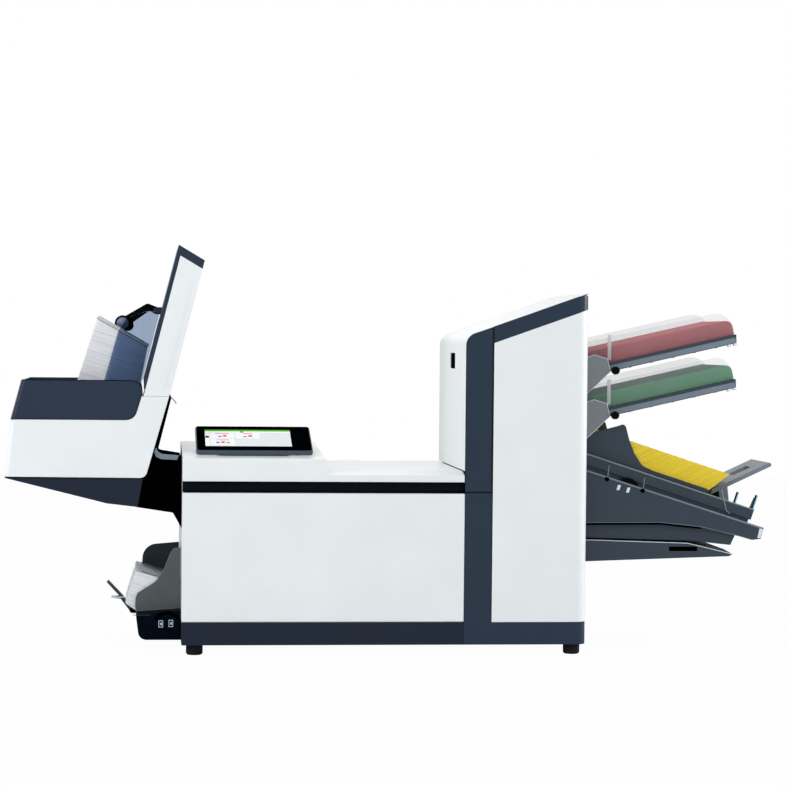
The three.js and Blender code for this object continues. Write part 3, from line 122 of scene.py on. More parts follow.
@dataclass(frozen=True)
class Shader:
    """A material's node tree while it is being laid out."""

    material: bpy.types.Material

    @classmethod
    def named(cls, name: str) -> "Shader":
        """Starts a material with an empty node tree.

        Args:
            name: the material's name.

        Returns:
            The shader, with its surface and output nodes in place.
        """
        material = bpy.data.materials.new(name)
        material.use_nodes = True
        return cls(material)

    @property
    def surface(self) -> bpy.types.Node:
        """The surface node that every finish sets."""
        return self.material.node_tree.nodes["Principled BSDF"]

    def add(self, kind: str, **values: object) -> bpy.types.Node:
        """Adds a node and sets its input sockets and properties.

        Args:
            kind: the node's type.
            values: socket names with spaces as underscores, or the node's own properties.

        Returns:
            The new node.
        """
        node = self.material.node_tree.nodes.new(kind)
        for name, value in values.items():
            socket = name.replace("_", " ")
            if socket in node.inputs:
                node.inputs[socket].default_value = value
            else:
                setattr(node, name, value)
        return node

    def join(self, source: bpy.types.NodeSocket, target: bpy.types.NodeSocket) -> None:
        """Links an output socket to an input socket."""
        self.material.node_tree.links.new(source, target)

    def pattern(self, stretch: Sequence[float], turn: float = 0.0) -> bpy.types.NodeSocket:
        """Gives the piece's own coordinates, turned and then stretched.

        Args:
            stretch: how often the pattern repeats along each axis, per metre.
            turn: angle about the machine's depth, in degrees.

        Returns:
            The socket that a texture's Vector takes.
        """
        place = self.add("ShaderNodeTexCoord")
        turned = self.add("ShaderNodeMapping", Rotation=(0.0, math.radians(turn), 0.0))
        stretched = self.add("ShaderNodeMapping", Scale=tuple(stretch))
        self.join(place.outputs["Object"], turned.inputs["Vector"])
        self.join(turned.outputs["Vector"], stretched.inputs["Vector"])
        return stretched.outputs["Vector"]

    def noise(self, place: bpy.types.NodeSocket, detail: float = 3.0) -> bpy.types.NodeSocket:
        """Adds a noise texture on a place.

        Args:
            place: the coordinates to read.
            detail: how many finer layers it has.

        Returns:
            The noise's grey value.
        """
        node = self.add("ShaderNodeTexNoise", Scale=1.0, Detail=detail, Roughness=NOISE_ROUGHNESS)
        self.join(place, node.inputs["Vector"])
        return node.outputs["Fac"]

    def range(self, value: bpy.types.NodeSocket, low: float, high: float, start: float = 0.3,
              end: float = 0.7) -> bpy.types.NodeSocket:
        """Maps a grey value from its usual spread to a wanted one.

        Args:
            value: the grey value.
            low: what start becomes.
            high: what end becomes.
            start: lowest value read.
            end: highest value read.

        Returns:
            The mapped value.
        """
        node = self.add("ShaderNodeMapRange", From_Min=start, From_Max=end, To_Min=low, To_Max=high)
        self.join(value, node.inputs["Value"])
        return node.outputs["Result"]

    def blend(self, share: bpy.types.NodeSocket, first: Sequence[float] | bpy.types.NodeSocket,
              second: Sequence[float]) -> bpy.types.NodeSocket:
        """Blends two colours by a grey value.

        Args:
            share: the grey value.
            first: linear colour at zero, or the socket that gives it.
            second: linear colour at one.

        Returns:
            The blended colour.
        """
        node = self.add("ShaderNodeMix", data_type="RGBA")
        node.inputs[MIX_SECOND].default_value = second
        self.join(share, node.inputs["Factor"])
        if isinstance(first, bpy.types.NodeSocket):
            self.join(first, node.inputs[MIX_FIRST])
        else:
            node.inputs[MIX_FIRST].default_value = first
        return node.outputs[MIX_COLOUR]

    def bump(self, height: bpy.types.NodeSocket, depth: float, strength: float) -> None:
        """Gives the surface a fine relief.

        Args:
            height: the grey value that stands for height.
            depth: how high one is, in millimetres.
            strength: share of the relief that shows.
        """
        node = self.add("ShaderNodeBump", Strength=strength, Distance=depth * MM)
        self.join(height, node.inputs["Height"])
        self.join(node.outputs["Normal"], self.surface.inputs["Normal"])

    def tone(self, value: bpy.types.NodeSocket, first: Sequence[float], second: Sequence[float]) -> None:
        """Colours the surface between two linear colours by a grey value."""
        self.join(self.blend(self.range(value, 0.0, 1.0), first, second), self.surface.inputs["Base Color"])

    def gloss(self, value: bpy.types.NodeSocket, low: float, high: float) -> None:
        """Spreads the surface's roughness between two values by a grey value."""
        self.join(self.range(value, low, high), self.surface.inputs["Roughness"])

    def set(self, **values: float) -> None:
        """Sets the surface's own sockets, their names with underscores for spaces."""
        for name, value in values.items():
            self.surface.inputs[name.replace("_", " ")].default_value = value


def shade(colour: Sequence[float], share: float) -> tuple[float, float, float, float]:
    """Scales a linear colour, keeping its alpha."""
    return colour[0] * share, colour[1] * share, colour[2] * share, colour[3]


@dataclass(frozen=True)
class Moulded:
    """Moulded or painted plastic: fine grain, slow change of tone, uneven gloss."""

    name: str
    colour: str
    roughness: float = 0.42
    grain: float = 0.7
    relief: float = 0.03
    relief_share: float = 0.6
    mottle: float = 0.05
    patches: float = 9.0
    specular: float = 0.5
    coat: float = 0.0
    coat_roughness: float = 0.12
    gloss_spread: Flat = (0.05, 0.06)

    def material(self) -> bpy.types.Material:
        """Makes the material.

        Returns:
            The material.
        """
        shader = Shader.named(self.name)
        tone = linear(self.colour)
        slow = shader.noise(shader.pattern([self.patches] * 3), detail=4.0)
        fine = shader.noise(shader.pattern([1 / (self.grain * MM)] * 3), detail=2.0)
        shader.tone(slow, shade(tone, 1 - self.mottle), shade(tone, 1 + self.mottle / 2))
        shader.gloss(fine, self.roughness - self.gloss_spread[0], self.roughness + self.gloss_spread[1])
        shader.set(Specular_IOR_Level=self.specular, Coat_Weight=self.coat, Coat_Roughness=self.coat_roughness)
        shader.bump(fine, self.relief, self.relief_share)
        return shader.material


@dataclass(frozen=True)
class Seamed(Moulded):
    """Moulded plastic whose edges fall off into dark joints with its neighbours."""

    seams: tuple[tuple[Axis, float, float], ...] = ()
    joint: str = "020304"

    def material(self) -> bpy.types.Material:
        """Makes the material, with each joint's axis, start and end read in the machine's millimetres.

        Returns:
            The material.
        """
        shader = Shader(super().material())
        place = shader.add("ShaderNodeTexCoord")
        split = shader.add("ShaderNodeSeparateXYZ")
        shader.join(place.outputs["Object"], split.inputs["Vector"])
        colour = shader.surface.inputs["Base Color"].links[0].from_socket
        for axis, start, end in self.seams:
            low = Bench.at(start, start, start)[axis.value]
            high = Bench.at(end, end, end)[axis.value]
            inside = shader.add("ShaderNodeMath", operation="COMPARE")
            shader.join(split.outputs[axis.value], inside.inputs[0])
            inside.inputs[1].default_value = (low + high) / 2
            inside.inputs[2].default_value = (high - low) / 2
            colour = shader.blend(inside.outputs["Value"], colour, linear(self.joint))
        shader.join(colour, shader.surface.inputs["Base Color"])
        return shader.material


@dataclass(frozen=True)
class Brushed:
    """Bare metal with fine brush lines across one axis."""

    name: str
    colour: str
    roughness: float = 0.34
    across: Axis = Axis.Z
    along_lines: float = 24.0
    across_lines: float = 2600.0
    shades: Flat = (0.86, 1.06)
    gloss_spread: Flat = (0.08, 0.1)
    relief: float = 0.02
    relief_share: float = 0.4

    def material(self) -> bpy.types.Material:
        """Makes the material.

        Returns:
            The material.
        """
        shader = Shader.named(self.name)
        tone = linear(self.colour)
        stretch = [self.along_lines] * 3
        stretch[self.across.value] = self.across_lines
        lines = shader.noise(shader.pattern(stretch), detail=3.0)
        shader.tone(lines, shade(tone, self.shades[0]), shade(tone, self.shades[1]))
        shader.gloss(lines, self.roughness - self.gloss_spread[0], self.roughness + self.gloss_spread[1])
        shader.set(Metallic=1.0)
        shader.bump(lines, self.relief, self.relief_share)
        return shader.material


@dataclass(frozen=True)
class Layered:
    """The cut edges of a paper pile: thin lines of painted shade between the sheets, across the pile's own height."""

    name: str
    colour: str
    # Colour of the painted shade in the lines between the sheets.
    shadow: str
    pitch: float = 1.2
    tilt: float = 0.0
    contrast: float = 0.6
    along_sheets: float = 7.0
    line_levels: Flat = (0.33, 0.55)
    fibres: float = 900.0
    roughness: Flat = (0.72, 0.92)
    specular: float = 0.25
    relief: float = 0.12
    relief_share: float = 0.5

    def material(self) -> bpy.types.Material:
        """Makes the material.

        Returns:
            The material.
        """
        shader = Shader.named(self.name)
        stretch = (self.along_sheets, self.along_sheets, 1 / (self.pitch * MM))
        layers = shader.noise(shader.pattern(stretch, self.tilt), detail=4.0)
        fibre = shader.noise(shader.pattern([self.fibres] * 3), detail=2.0)
        share = shader.range(layers, 1.0 - self.contrast, 1.0, *self.line_levels)
        colour = shader.blend(share, linear(self.shadow), linear(self.colour))
        shader.join(colour, shader.surface.inputs["Base Color"])
        shader.gloss(fibre, *self.roughness)
        shader.set(Specular_IOR_Level=self.specular)
        shader.bump(layers, self.relief, self.relief_share)
        return shader.material


@dataclass(frozen=True)
class Sheer:
    """See-through plastic with a light tint and faint wipe marks."""

    name: str
    colour: str
    clearness: float = 0.75
    roughness: float = 0.08
    roughness_spread: float = 0.08
    tints: bool = False
    bending: float = 1.03
    specular: float = 0.6
    marks: Point = (60.0, 60.0, 20.0)
    mark_shade: float = 0.94

    def material(self) -> bpy.types.Material:
        """Makes the material: it either veils what is behind it or tints it.

        Returns:
            The material.
        """
        shader = Shader.named(self.name)
        tone = linear(self.colour)
        marks = shader.noise(shader.pattern(self.marks), detail=5.0)
        shader.tone(marks, shade(tone, self.mark_shade), tone)
        shader.gloss(marks, self.roughness, self.roughness + self.roughness_spread)
        if self.tints:
            shader.set(Transmission_Weight=self.clearness, IOR=self.bending)
        else:
            shader.set(Alpha=1 - self.clearness, Specular_IOR_Level=self.specular)
        return shader.material


@dataclass(frozen=True)
class Lit:
    """A lit field of the display, with the faint grid of its dots."""

    name: str
    colour: str
    glow: float = 0.35
    dots: float = 2400.0
    dot_shade: float = 0.96

    def material(self) -> bpy.types.Material:
        """Makes the material.

        Returns:
            The material.
        """
        shader = Shader.named(self.name)
        tone = linear(self.colour)
        dots = shader.noise(shader.pattern([self.dots] * 3), detail=1.0)
        colour = shader.blend(shader.range(dots, 0.0, 1.0), shade(tone, self.dot_shade), tone)
        shader.join(colour, shader.surface.inputs["Base Color"])
        shader.join(colour, shader.surface.inputs["Emission Color"])
        shader.set(Emission_Strength=self.glow, Specular_IOR_Level=0.0)
        return shader.material


Finish = Moulded | Brushed | Layered | Sheer | Lit


class Finishes:
    """Every finish of the machine, each made once and then shared."""

    COVER = Moulded("cover_white", "e9eeef", roughness=0.38, mottle=0.03, coat=0.15)
    NAVY = Moulded("trim_navy", "213042", roughness=0.34, mottle=0.08, specular=0.22)
    STRIP = Seamed("strip_navy", "213042", roughness=0.34, mottle=0.08, specular=0.22,
                   seams=((Axis.X, 589.0, 592.0), (Axis.Z, 312.0, 314.0)))
    SKIRT = Moulded("skirt_navy", "141f30", roughness=0.42, mottle=0.08, specular=0.2)
    BLACK = Moulded("black_plastic", "050608", roughness=0.5, mottle=0.1, specular=0.04)
    SLATE = Moulded("slate_plastic", "303c48", roughness=0.42, mottle=0.08, specular=0.3)
    SLATE_LIGHT = Moulded("slate_light", "6f7d8a", roughness=0.4, mottle=0.06, specular=0.4)
    WARM = Moulded("guide_warm", "555d5e", roughness=0.6, grain=1.1, relief=0.05, mottle=0.14, specular=0.25)
    FAR = Moulded("guide_dark", "2b3940", roughness=0.55, grain=1.1, relief=0.05, mottle=0.14, specular=0.25)
    HOPPER = Moulded("hopper_dark", "07101b", roughness=0.42, mottle=0.1, specular=0.05)
    HOUSING = Moulded("housing_dark", "020a15", roughness=0.42, mottle=0.1, specular=0.02)
    RUBBER = Moulded("rubber", "121315", roughness=0.75, grain=1.4, relief=0.08, mottle=0.2, specular=0.15)
    ROLLER = Moulded("roller_grey", "46546a", roughness=0.5, grain=0.9, mottle=0.1, specular=0.3)
    CASING = Moulded("display_casing", "40515f", roughness=0.3, mottle=0.06, specular=0.4)
    GLASS = Moulded("display_gloss", "020304", roughness=0.3, grain=3.0, relief=0.004, mottle=0.2, specular=0.0)
    MARK = Moulded("mark_pale", "c9d6e2", roughness=0.5, mottle=0.04)
    BLUE_EDGE = Moulded("edge_blue", "7cc3ea", roughness=0.35, mottle=0.06)
    BRACKET = Moulded("bracket_grey", "7c8388", roughness=0.4, mottle=0.06)
    PALE_CLIP = Moulded("clip_pale", "dfe6ea", roughness=0.35, mottle=0.04)
    STEEL = Brushed("frame_steel", "a4a9ae")
    BRIGHT = Brushed("bright_steel", "d3d8dc", roughness=0.2, across=Axis.X)
    CLEAR = Sheer("guide_clear", "c7ced4", clearness=0.85)
    SMOKE = Sheer("guide_smoke", "98a7be", clearness=1.0, roughness=0.0, tints=True)
    # Pitch black: the own colour of the stacker bracket and strut feet, and painted shade in the wheel slot, the
    # insert housing's recess line and the screw slots.
    PITCH = Moulded("slot_black", "010102", roughness=0.7, mottle=0.2, specular=0.0)
    CLIP = Sheer("clip_clear", "dfe3e8", clearness=0.4)
    DISC = Moulded("disc_blue", "64748e", roughness=0.32, mottle=0.06, specular=0.6)
    TOUCH = Moulded("touch_green", "2c8a55", roughness=0.4, mottle=0.08, specular=0.3)
    ORANGE = Lit("screen_orange", "d8532a")
    SKY_BLUE = Lit("screen_blue", "2f86c9")
    LEAF = Lit("screen_green", "57af29")
    DARK_TAB = Lit("screen_tab", "15181c")
    CARD = Lit("screen_card", "e8e9ea")
    FIELD = Lit("screen_field", "d6dadc")
    PAPER = Layered("envelope_paper", "fbfcff", "c6cce0", pitch=1.6, tilt=-18.0, contrast=0.6)
    GREEN_SHEETS = Layered("paper_green", "2c9a58", "17653a", tilt=13.0)
    RED_SHEETS = Layered("paper_red", "c8282f", "7c141a", tilt=13.0)
    YELLOW_SHEETS = Layered("paper_yellow", "fbe045", "d9b41a", tilt=25.0)

    _made: dict[str, bpy.types.Material] = {}

    @classmethod
    def get(cls, finish: Finish) -> bpy.types.Material:
        """Gives the material of a finish, making it on first use.

        Args:
            finish: the finish.

        Returns:
            Its material.
        """
        if finish.name not in cls._made:
            cls._made[finish.name] = finish.material()
        return cls._made[finish.name]


def arc(middle: Flat, radius: float, start: float, end: float, steps: int) -> list[Flat]:
    """Gives points along part of a circle.

    Args:
        middle: the circle's middle.
        radius: its radius.
        start: first angle in degrees.
        end: last angle in degrees.
        steps: number of steps between them.

    Returns:
        The points, one more than the steps.
    """
    turns = [math.radians(start + (end - start) * step / steps) for step in range(steps + 1)]
    return [(middle[0] + radius * math.cos(turn), middle[1] + radius * math.sin(turn)) for turn in turns]


class Bench:
    """The machine's corner in the row frame, and the ways to put things there."""

    corner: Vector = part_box("base_skirt")[0]

    @classmethod
    def at(cls, x: float, y: float, z: float) -> Vector:
        """Turns a place on the machine, in millimetres, into the row frame's metres."""
        return Vector((cls.corner.x + x * MM, cls.corner.y + y * MM, z * MM))

    @classmethod
    def box(cls, node: str) -> tuple[Vector, Vector]:
        """Gives a CAD node's corners in the machine's millimetres.

        Args:
            node: the CAD node's name.

        Returns:
            Its low corner and its high corner.
        """
        base = Vector((cls.corner.x, cls.corner.y, 0.0))
        low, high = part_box(node)
        return (Vector(low) - base) / MM, (Vector(high) - base) / MM

    @classmethod
    def near(cls, node: str) -> float:
        """Gives how far back a CAD node's nearest point stands, in millimetres."""
        return cls.box(node)[0].y

    @classmethod
    def solid(cls, node: str, flat: bool = True) -> bmesh.types.BMesh:
        """Copies a CAD node's solid and merges its loose triangles.

        Args:
            node: the CAD node's name.
            flat: whether each flat face becomes one.

        Returns:
            The copy, in the row frame.
        """
        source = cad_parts[node]
        mesh = bmesh.new()
        mesh.from_mesh(source.data)
        bmesh.ops.transform(mesh, matrix=source.matrix_world, verts=mesh.verts[:])
        bmesh.ops.remove_doubles(mesh, verts=mesh.verts[:], dist=WELD * MM)
        if flat:
            bmesh.ops.dissolve_limit(mesh, angle_limit=math.radians(FLAT_ANGLE), verts=mesh.verts[:],
                                     edges=mesh.edges[:])
        return mesh

    @classmethod
    def front(cls, node: str) -> list[Flat]:
        """Reads the outline of a CAD node's front face.

        Args:
            node: the CAD node's name.

        Returns:
            The outline's x and z, in order, in the machine's millimetres.
        """
        mesh = cls.solid(node)
        facing = [face for face in mesh.faces if face.normal.y < -FACING]
        front = max(facing, key=lambda face: face.calc_area())
        outline = [((vert.co.x - cls.corner.x) / MM, vert.co.z / MM) for vert in front.verts]
        mesh.free()
        return outline

    @classmethod
    def upper_edge(cls, node: str) -> list[Flat]:
        """Reads the bulging upper edge of a CAD node's front face.

        Args:
            node: the CAD node's name.

        Returns:
            The edge's x and z from left to right, in the machine's millimetres.
        """
        upper: list[Flat] = []
        for x, z in sorted(cls.front(node)):
            while len(upper) > 1:
                (first_x, first_z), (last_x, last_z) = upper[-2:]
                if (last_x - first_x) * (z - first_z) < (last_z - first_z) * (x - first_x):
                    break
                upper.pop()
            upper.append((x, z))
        return upper[1:]


@dataclass
class Form:
    """Closed solids gathered in one mesh, drawn in the machine's millimetres."""

    mesh: bmesh.types.BMesh = field(default_factory=bmesh.new)

    def prism(self, outline: Sequence[Flat], low: float, high: float) -> "Form":
        """Draws a flat outline out along y.

        Args:
            outline: the outline's points, as x and z.
            low: where it starts along y.
            high: where it ends along y.

        Returns:
            The form, so that calls can be chained.
        """
        start = self.mesh.faces.new([self.mesh.verts.new(Bench.at(x, low, z)) for x, z in outline])
        self.pull(start, Matrix.Translation((0.0, (high - low) * MM, 0.0)))
        return self.settle()

    def pull(self, face: bmesh.types.BMFace, move: Matrix) -> bmesh.types.BMFace:
        """Extrudes a face and moves what was extruded.

        Args:
            face: the face to extrude, which stays only where it stands alone.
            move: how the new end is moved, in the row frame.

        Returns:
            The new end face.
        """
        drawn = bmesh.ops.extrude_face_region(self.mesh, geom=[face, *face.edges])["geom"]
        end = next(part for part in drawn if isinstance(part, bmesh.types.BMFace))
        bmesh.ops.transform(self.mesh, matrix=move, verts=end.verts[:])
        return end

    def settle(self) -> "Form":
        """Puts corners, edges and faces in an order that is the same in each run.

        Returns:
            The form.
        """
        self.mesh.verts.sort(key=lambda vert: ORDER.dot(vert.co))
        self.mesh.edges.sort(key=lambda edge: ORDER.dot(edge.verts[0].co + edge.verts[1].co))
        self.mesh.faces.sort(key=lambda face: ORDER.dot(face.calc_center_median()))
        return self

    def add(self, other: "Form") -> "Form":
        """Adds another form's solids, drawn in a mesh of their own, where the order of a round end stays the same.

        Args:
            other: the other form, which is used up.

        Returns:
            The form.
        """
        data = bpy.data.meshes.new("solid")
        other.mesh.to_mesh(data)
        other.mesh.free()
        self.mesh.from_mesh(data)
        bpy.data.meshes.remove(data)
        return self

    def band(self, outline: Sequence[Flat], wall: float, low: float, high: float) -> "Form":
        """Adds a closed band with a flat outline, drawn out along y.

        Args:
            outline: its outer outline, as x and z.
            wall: how thick the band is.
            low: where it starts along y.
            high: where it ends along y.

        Returns:
            The form.
        """
        self.prism(outline, low, high)
        self.mesh.normal_update()
        ends = [face for face in self.mesh.faces if len(face.verts) == len(outline) and abs(face.normal.y) > FACING]
        bmesh.ops.inset_region(self.mesh, faces=ends, thickness=wall * MM, use_boundary=True, use_even_offset=True)
        loops = [edge for face in ends for edge in face.edges]
        bmesh.ops.delete(self.mesh, geom=ends, context="FACES_ONLY")
        bmesh.ops.bridge_loops(self.mesh, edges=loops)
        return self

    def block(self, low: Point, high: Point) -> "Form":
        """Adds a box.

        Args:
            low: its low corner.
            high: its high corner.

        Returns:
            The form.
        """
        start, end = Bench.at(*low), Bench.at(*high)
        bmesh.ops.create_cube(self.mesh, size=1.0, matrix=Matrix.LocRotScale((start + end) / 2, None, end - start))
        return self

    def rod(self, start: Point, end: Point, radius: float, tip: float | None = None, sides: int = 24) -> "Form":
        """Adds a round rod or cone between two places.

        Args:
            start: middle of its first end.
            end: middle of its other end.
            radius: its radius at the start.
            tip: its radius at the end, or none for the same.
            sides: number of flats around it.

        Returns:
            The form.
        """
        first, last = Bench.at(*start), Bench.at(*end)
        turn = (last - first).to_track_quat("Z", "Y").to_matrix().to_4x4()
        far = radius if tip is None else tip
        bmesh.ops.create_cone(self.mesh, cap_ends=True, segments=sides, radius1=radius * MM, radius2=far * MM,
                              depth=(last - first).length, matrix=Matrix.Translation((first + last) / 2) @ turn)
        return self

    def tube(self, path: Sequence[Point], radius: float, sides: int = 10) -> "Form":
        """Adds a bent wire with flat ends.

        Args:
            path: the places that its middle runs through.
            radius: the wire's radius.
            sides: number of flats around it.

        Returns:
            The form.
        """
        places = [Bench.at(*place) for place in path]
        start = bmesh.ops.create_circle(self.mesh, cap_ends=True, segments=sides, radius=radius * MM)["verts"]
        end = start[0].link_faces[0]
        here = Matrix()
        across = (places[1] - places[0]).orthogonal()
        for number, place in enumerate(places):
            ahead = (places[min(number + 1, len(places) - 1)] - places[max(number - 1, 0)]).normalized()
            across = (across - ahead * across.dot(ahead)).normalized()
            there = Matrix((across, ahead.cross(across), ahead)).transposed().to_4x4()
            there.translation = place
            move = there @ here.inverted()
            if number:
                end = self.pull(end, move)
            else:
                bmesh.ops.transform(self.mesh, matrix=move, verts=end.verts[:])
            here = there
        return self.settle()

    def bead(self, outline: Sequence[Flat], depth: float, radius: float) -> "Form":
        """Adds a thin round bead all along a flat outline, at one depth."""
        return self.tube([(x, depth, z) for x, z in [*outline, outline[0]]], radius, sides=6)

    def tilt(self, degrees: float, pivot: Point, about: Axis = Axis.Y) -> "Form":
        """Turns all that the form holds so far.

        Args:
            degrees: how far it turns.
            pivot: a place on the line that it turns about.
            about: the line's direction.

        Returns:
            The form.
        """
        turn = Matrix.Rotation(math.radians(degrees), 4, about.name)
        bmesh.ops.rotate(self.mesh, verts=self.mesh.verts[:], cent=Bench.at(*pivot), matrix=turn)
        return self

    def soften(self, width: float, over: float = 30.0) -> "Form":
        """Rounds every sharp edge.

        Args:
            width: how wide the round is, in millimetres.
            over: degrees above which an edge is sharp.

        Returns:
            The form.
        """
        sharp = [edge for edge in self.mesh.edges if edge.calc_face_angle(0.0) > math.radians(over)]
        bmesh.ops.bevel(self.mesh, geom=sharp, offset=width * MM, offset_type="OFFSET", segments=ROUND_STEPS,
                        profile=0.5, affect="EDGES", material=-1, clamp_overlap=True)
        return self.settle()

    def piece(self, name: str, finish: Finish, part: str, body: Body = Body.CHASSIS) -> bpy.types.Object:
        """Closes the form into an object that rides on a body.

        Args:
            name: the piece's name.
            finish: what it is made of.
            part: the material slot that it belongs to; not used.
            body: the body that it moves with.

        Returns:
            The new object.
        """
        bmesh.ops.recalc_face_normals(self.mesh, faces=self.mesh.faces[:])
        for face in self.mesh.faces:
            face.smooth = True
        for edge in self.mesh.edges:
            edge.smooth = edge.calc_face_angle(0.0) < math.radians(SMOOTH_ANGLE)
        self.settle()
        data = bpy.data.meshes.new(name)
        self.mesh.to_mesh(data)
        self.mesh.free()
        data.materials.append(Finishes.get(finish))
        made = bpy.data.objects.new(name, data)
        bpy.context.scene.collection.objects.link(made)
        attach(made, body.value)
        LOG.info("made %s with %d faces", name, len(data.polygons))
        return made


@dataclass(frozen=True)
class Dress:
    """How one CAD node is dressed: its finish and how softly its edges are broken."""

    finish: Finish
    edge: float = 0.6
    sharper: float = 38.0
    weld: float = 0.01
    flat: float = 0.5

    def put_on(self, node: str) -> None:
        """Gives the node its material and soft edges.

        Args:
            node: the CAD node's name.
        """
        self.wrap(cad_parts[node])

    def wrap(self, piece: bpy.types.Object) -> None:
        """Gives an object the finish and its soft edges.

        Args:
            piece: the object, a CAD node's or one shown in its place.
        """
        piece.data.materials.clear()
        piece.data.materials.append(Finishes.get(self.finish))
        piece.data.polygons.foreach_set("use_smooth", [True] * len(piece.data.polygons))
        weld = piece.modifiers.new("weld", "WELD")
        weld.merge_threshold = self.weld * MM
        flatten = piece.modifiers.new("flatten", "DECIMATE")
        flatten.decimate_type = "DISSOLVE"
        flatten.angle_limit = math.radians(self.flat)
        soften = piece.modifiers.new("soften", "BEVEL")
        soften.width = self.edge * MM
        soften.segments = ROUND_STEPS
        soften.limit_method = "ANGLE"
        soften.angle_limit = math.radians(self.sharper)
        level = piece.modifiers.new("level", "WEIGHTED_NORMAL")
        level.keep_sharp = True


class Wardrobe:
    """Which finish each CAD node wears."""

    ROWS: tuple[tuple[Finish, float, str], ...] = (
        (Finishes.RUBBER, 0.8, "foot_front_left foot_front_right foot_rear_left foot_rear_right"),
        (Finishes.RUBBER, 0.5, "fold_roller_lower fold_roller_upper feed_roller_1 feed_roller_2"),
        (Finishes.SKIRT, 0.6, "base_skirt"),
        (Finishes.NAVY, 0.6, "tower_frame"),
        (Finishes.NAVY, 0.8, "tower_top_trim stacker_rim column_trim"),
        (Finishes.STRIP, 0.8, "collator_strip"),
        (Finishes.COVER, 0.8, "rear_cover tower_side_panel front_door collator_cover stacker_shell stacker_column"),
        (Finishes.COVER, 1.0, "top_lid"),
        (Finishes.STEEL, 0.3, "main_frame"),
        (Finishes.STEEL, 0.8, "drive_motor"),
        (Finishes.CASING, 0.8, "display_housing"),
        (Finishes.GLASS, 0.4, "display_glass"),
        (Finishes.BLACK, 0.4, "guide_knob_1 guide_knob_2 insert_thumbwheel hopper_thumbwheel"),
        (Finishes.BLACK, 0.5, "cover_latch mains_inlet rocker_switch"),
        (Finishes.BLACK, 0.6, "press_arm"),
        (Finishes.PITCH, 0.6, "stacker_bracket"),
        (Finishes.HOPPER, 0.6, "grip_channel"),
        (Finishes.HOUSING, 0.8, "hopper_housing"),
        (Finishes.SLATE, 0.5, "insert_guide_near insert_guide_far"),
        (Finishes.SLATE, 0.6, "document_tray_1 document_tray_2 insert_rail hopper_lever"),
        (Finishes.SLATE, 0.8, "insert_housing lower_tray"),
        (Finishes.SLATE_LIGHT, 0.8, "insert_pusher"),
        (Finishes.BRACKET, 0.6, "feed_bracket_1 feed_bracket_2"),
        (Finishes.CLEAR, 0.4, "guide_near_1 guide_near_2 guide_far_1 guide_far_2"),
        (Finishes.SMOKE, 0.4, "stacker_side_guide"),
        (Finishes.WARM, 0.5, "hopper_guide_near"),
        (Finishes.FAR, 0.5, "hopper_guide_far"),
        (Finishes.ROLLER, 0.6, "press_roller"),
        (Finishes.GREEN_SHEETS, 0.3, "document_stack_1"),
        (Finishes.RED_SHEETS, 0.3, "document_stack_2"),
        (Finishes.YELLOW_SHEETS, 0.3, "insert_stack"),
        (Finishes.PAPER, 0.3, "hopper_envelopes stacked_envelopes"),
    )
    DRESSES: dict[str, Dress] = {node: Dress(finish, edge) for finish, edge, nodes in ROWS for node in nodes.split()}

    @classmethod
    def dress_all(cls) -> None:
        """Dresses every CAD node."""
        for node, dress in cls.DRESSES.items():
            dress.put_on(node)
        bare = sorted(set(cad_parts) - set(cls.DRESSES))
        if bare:
            LOG.warning("nodes without a finish: %s", bare)


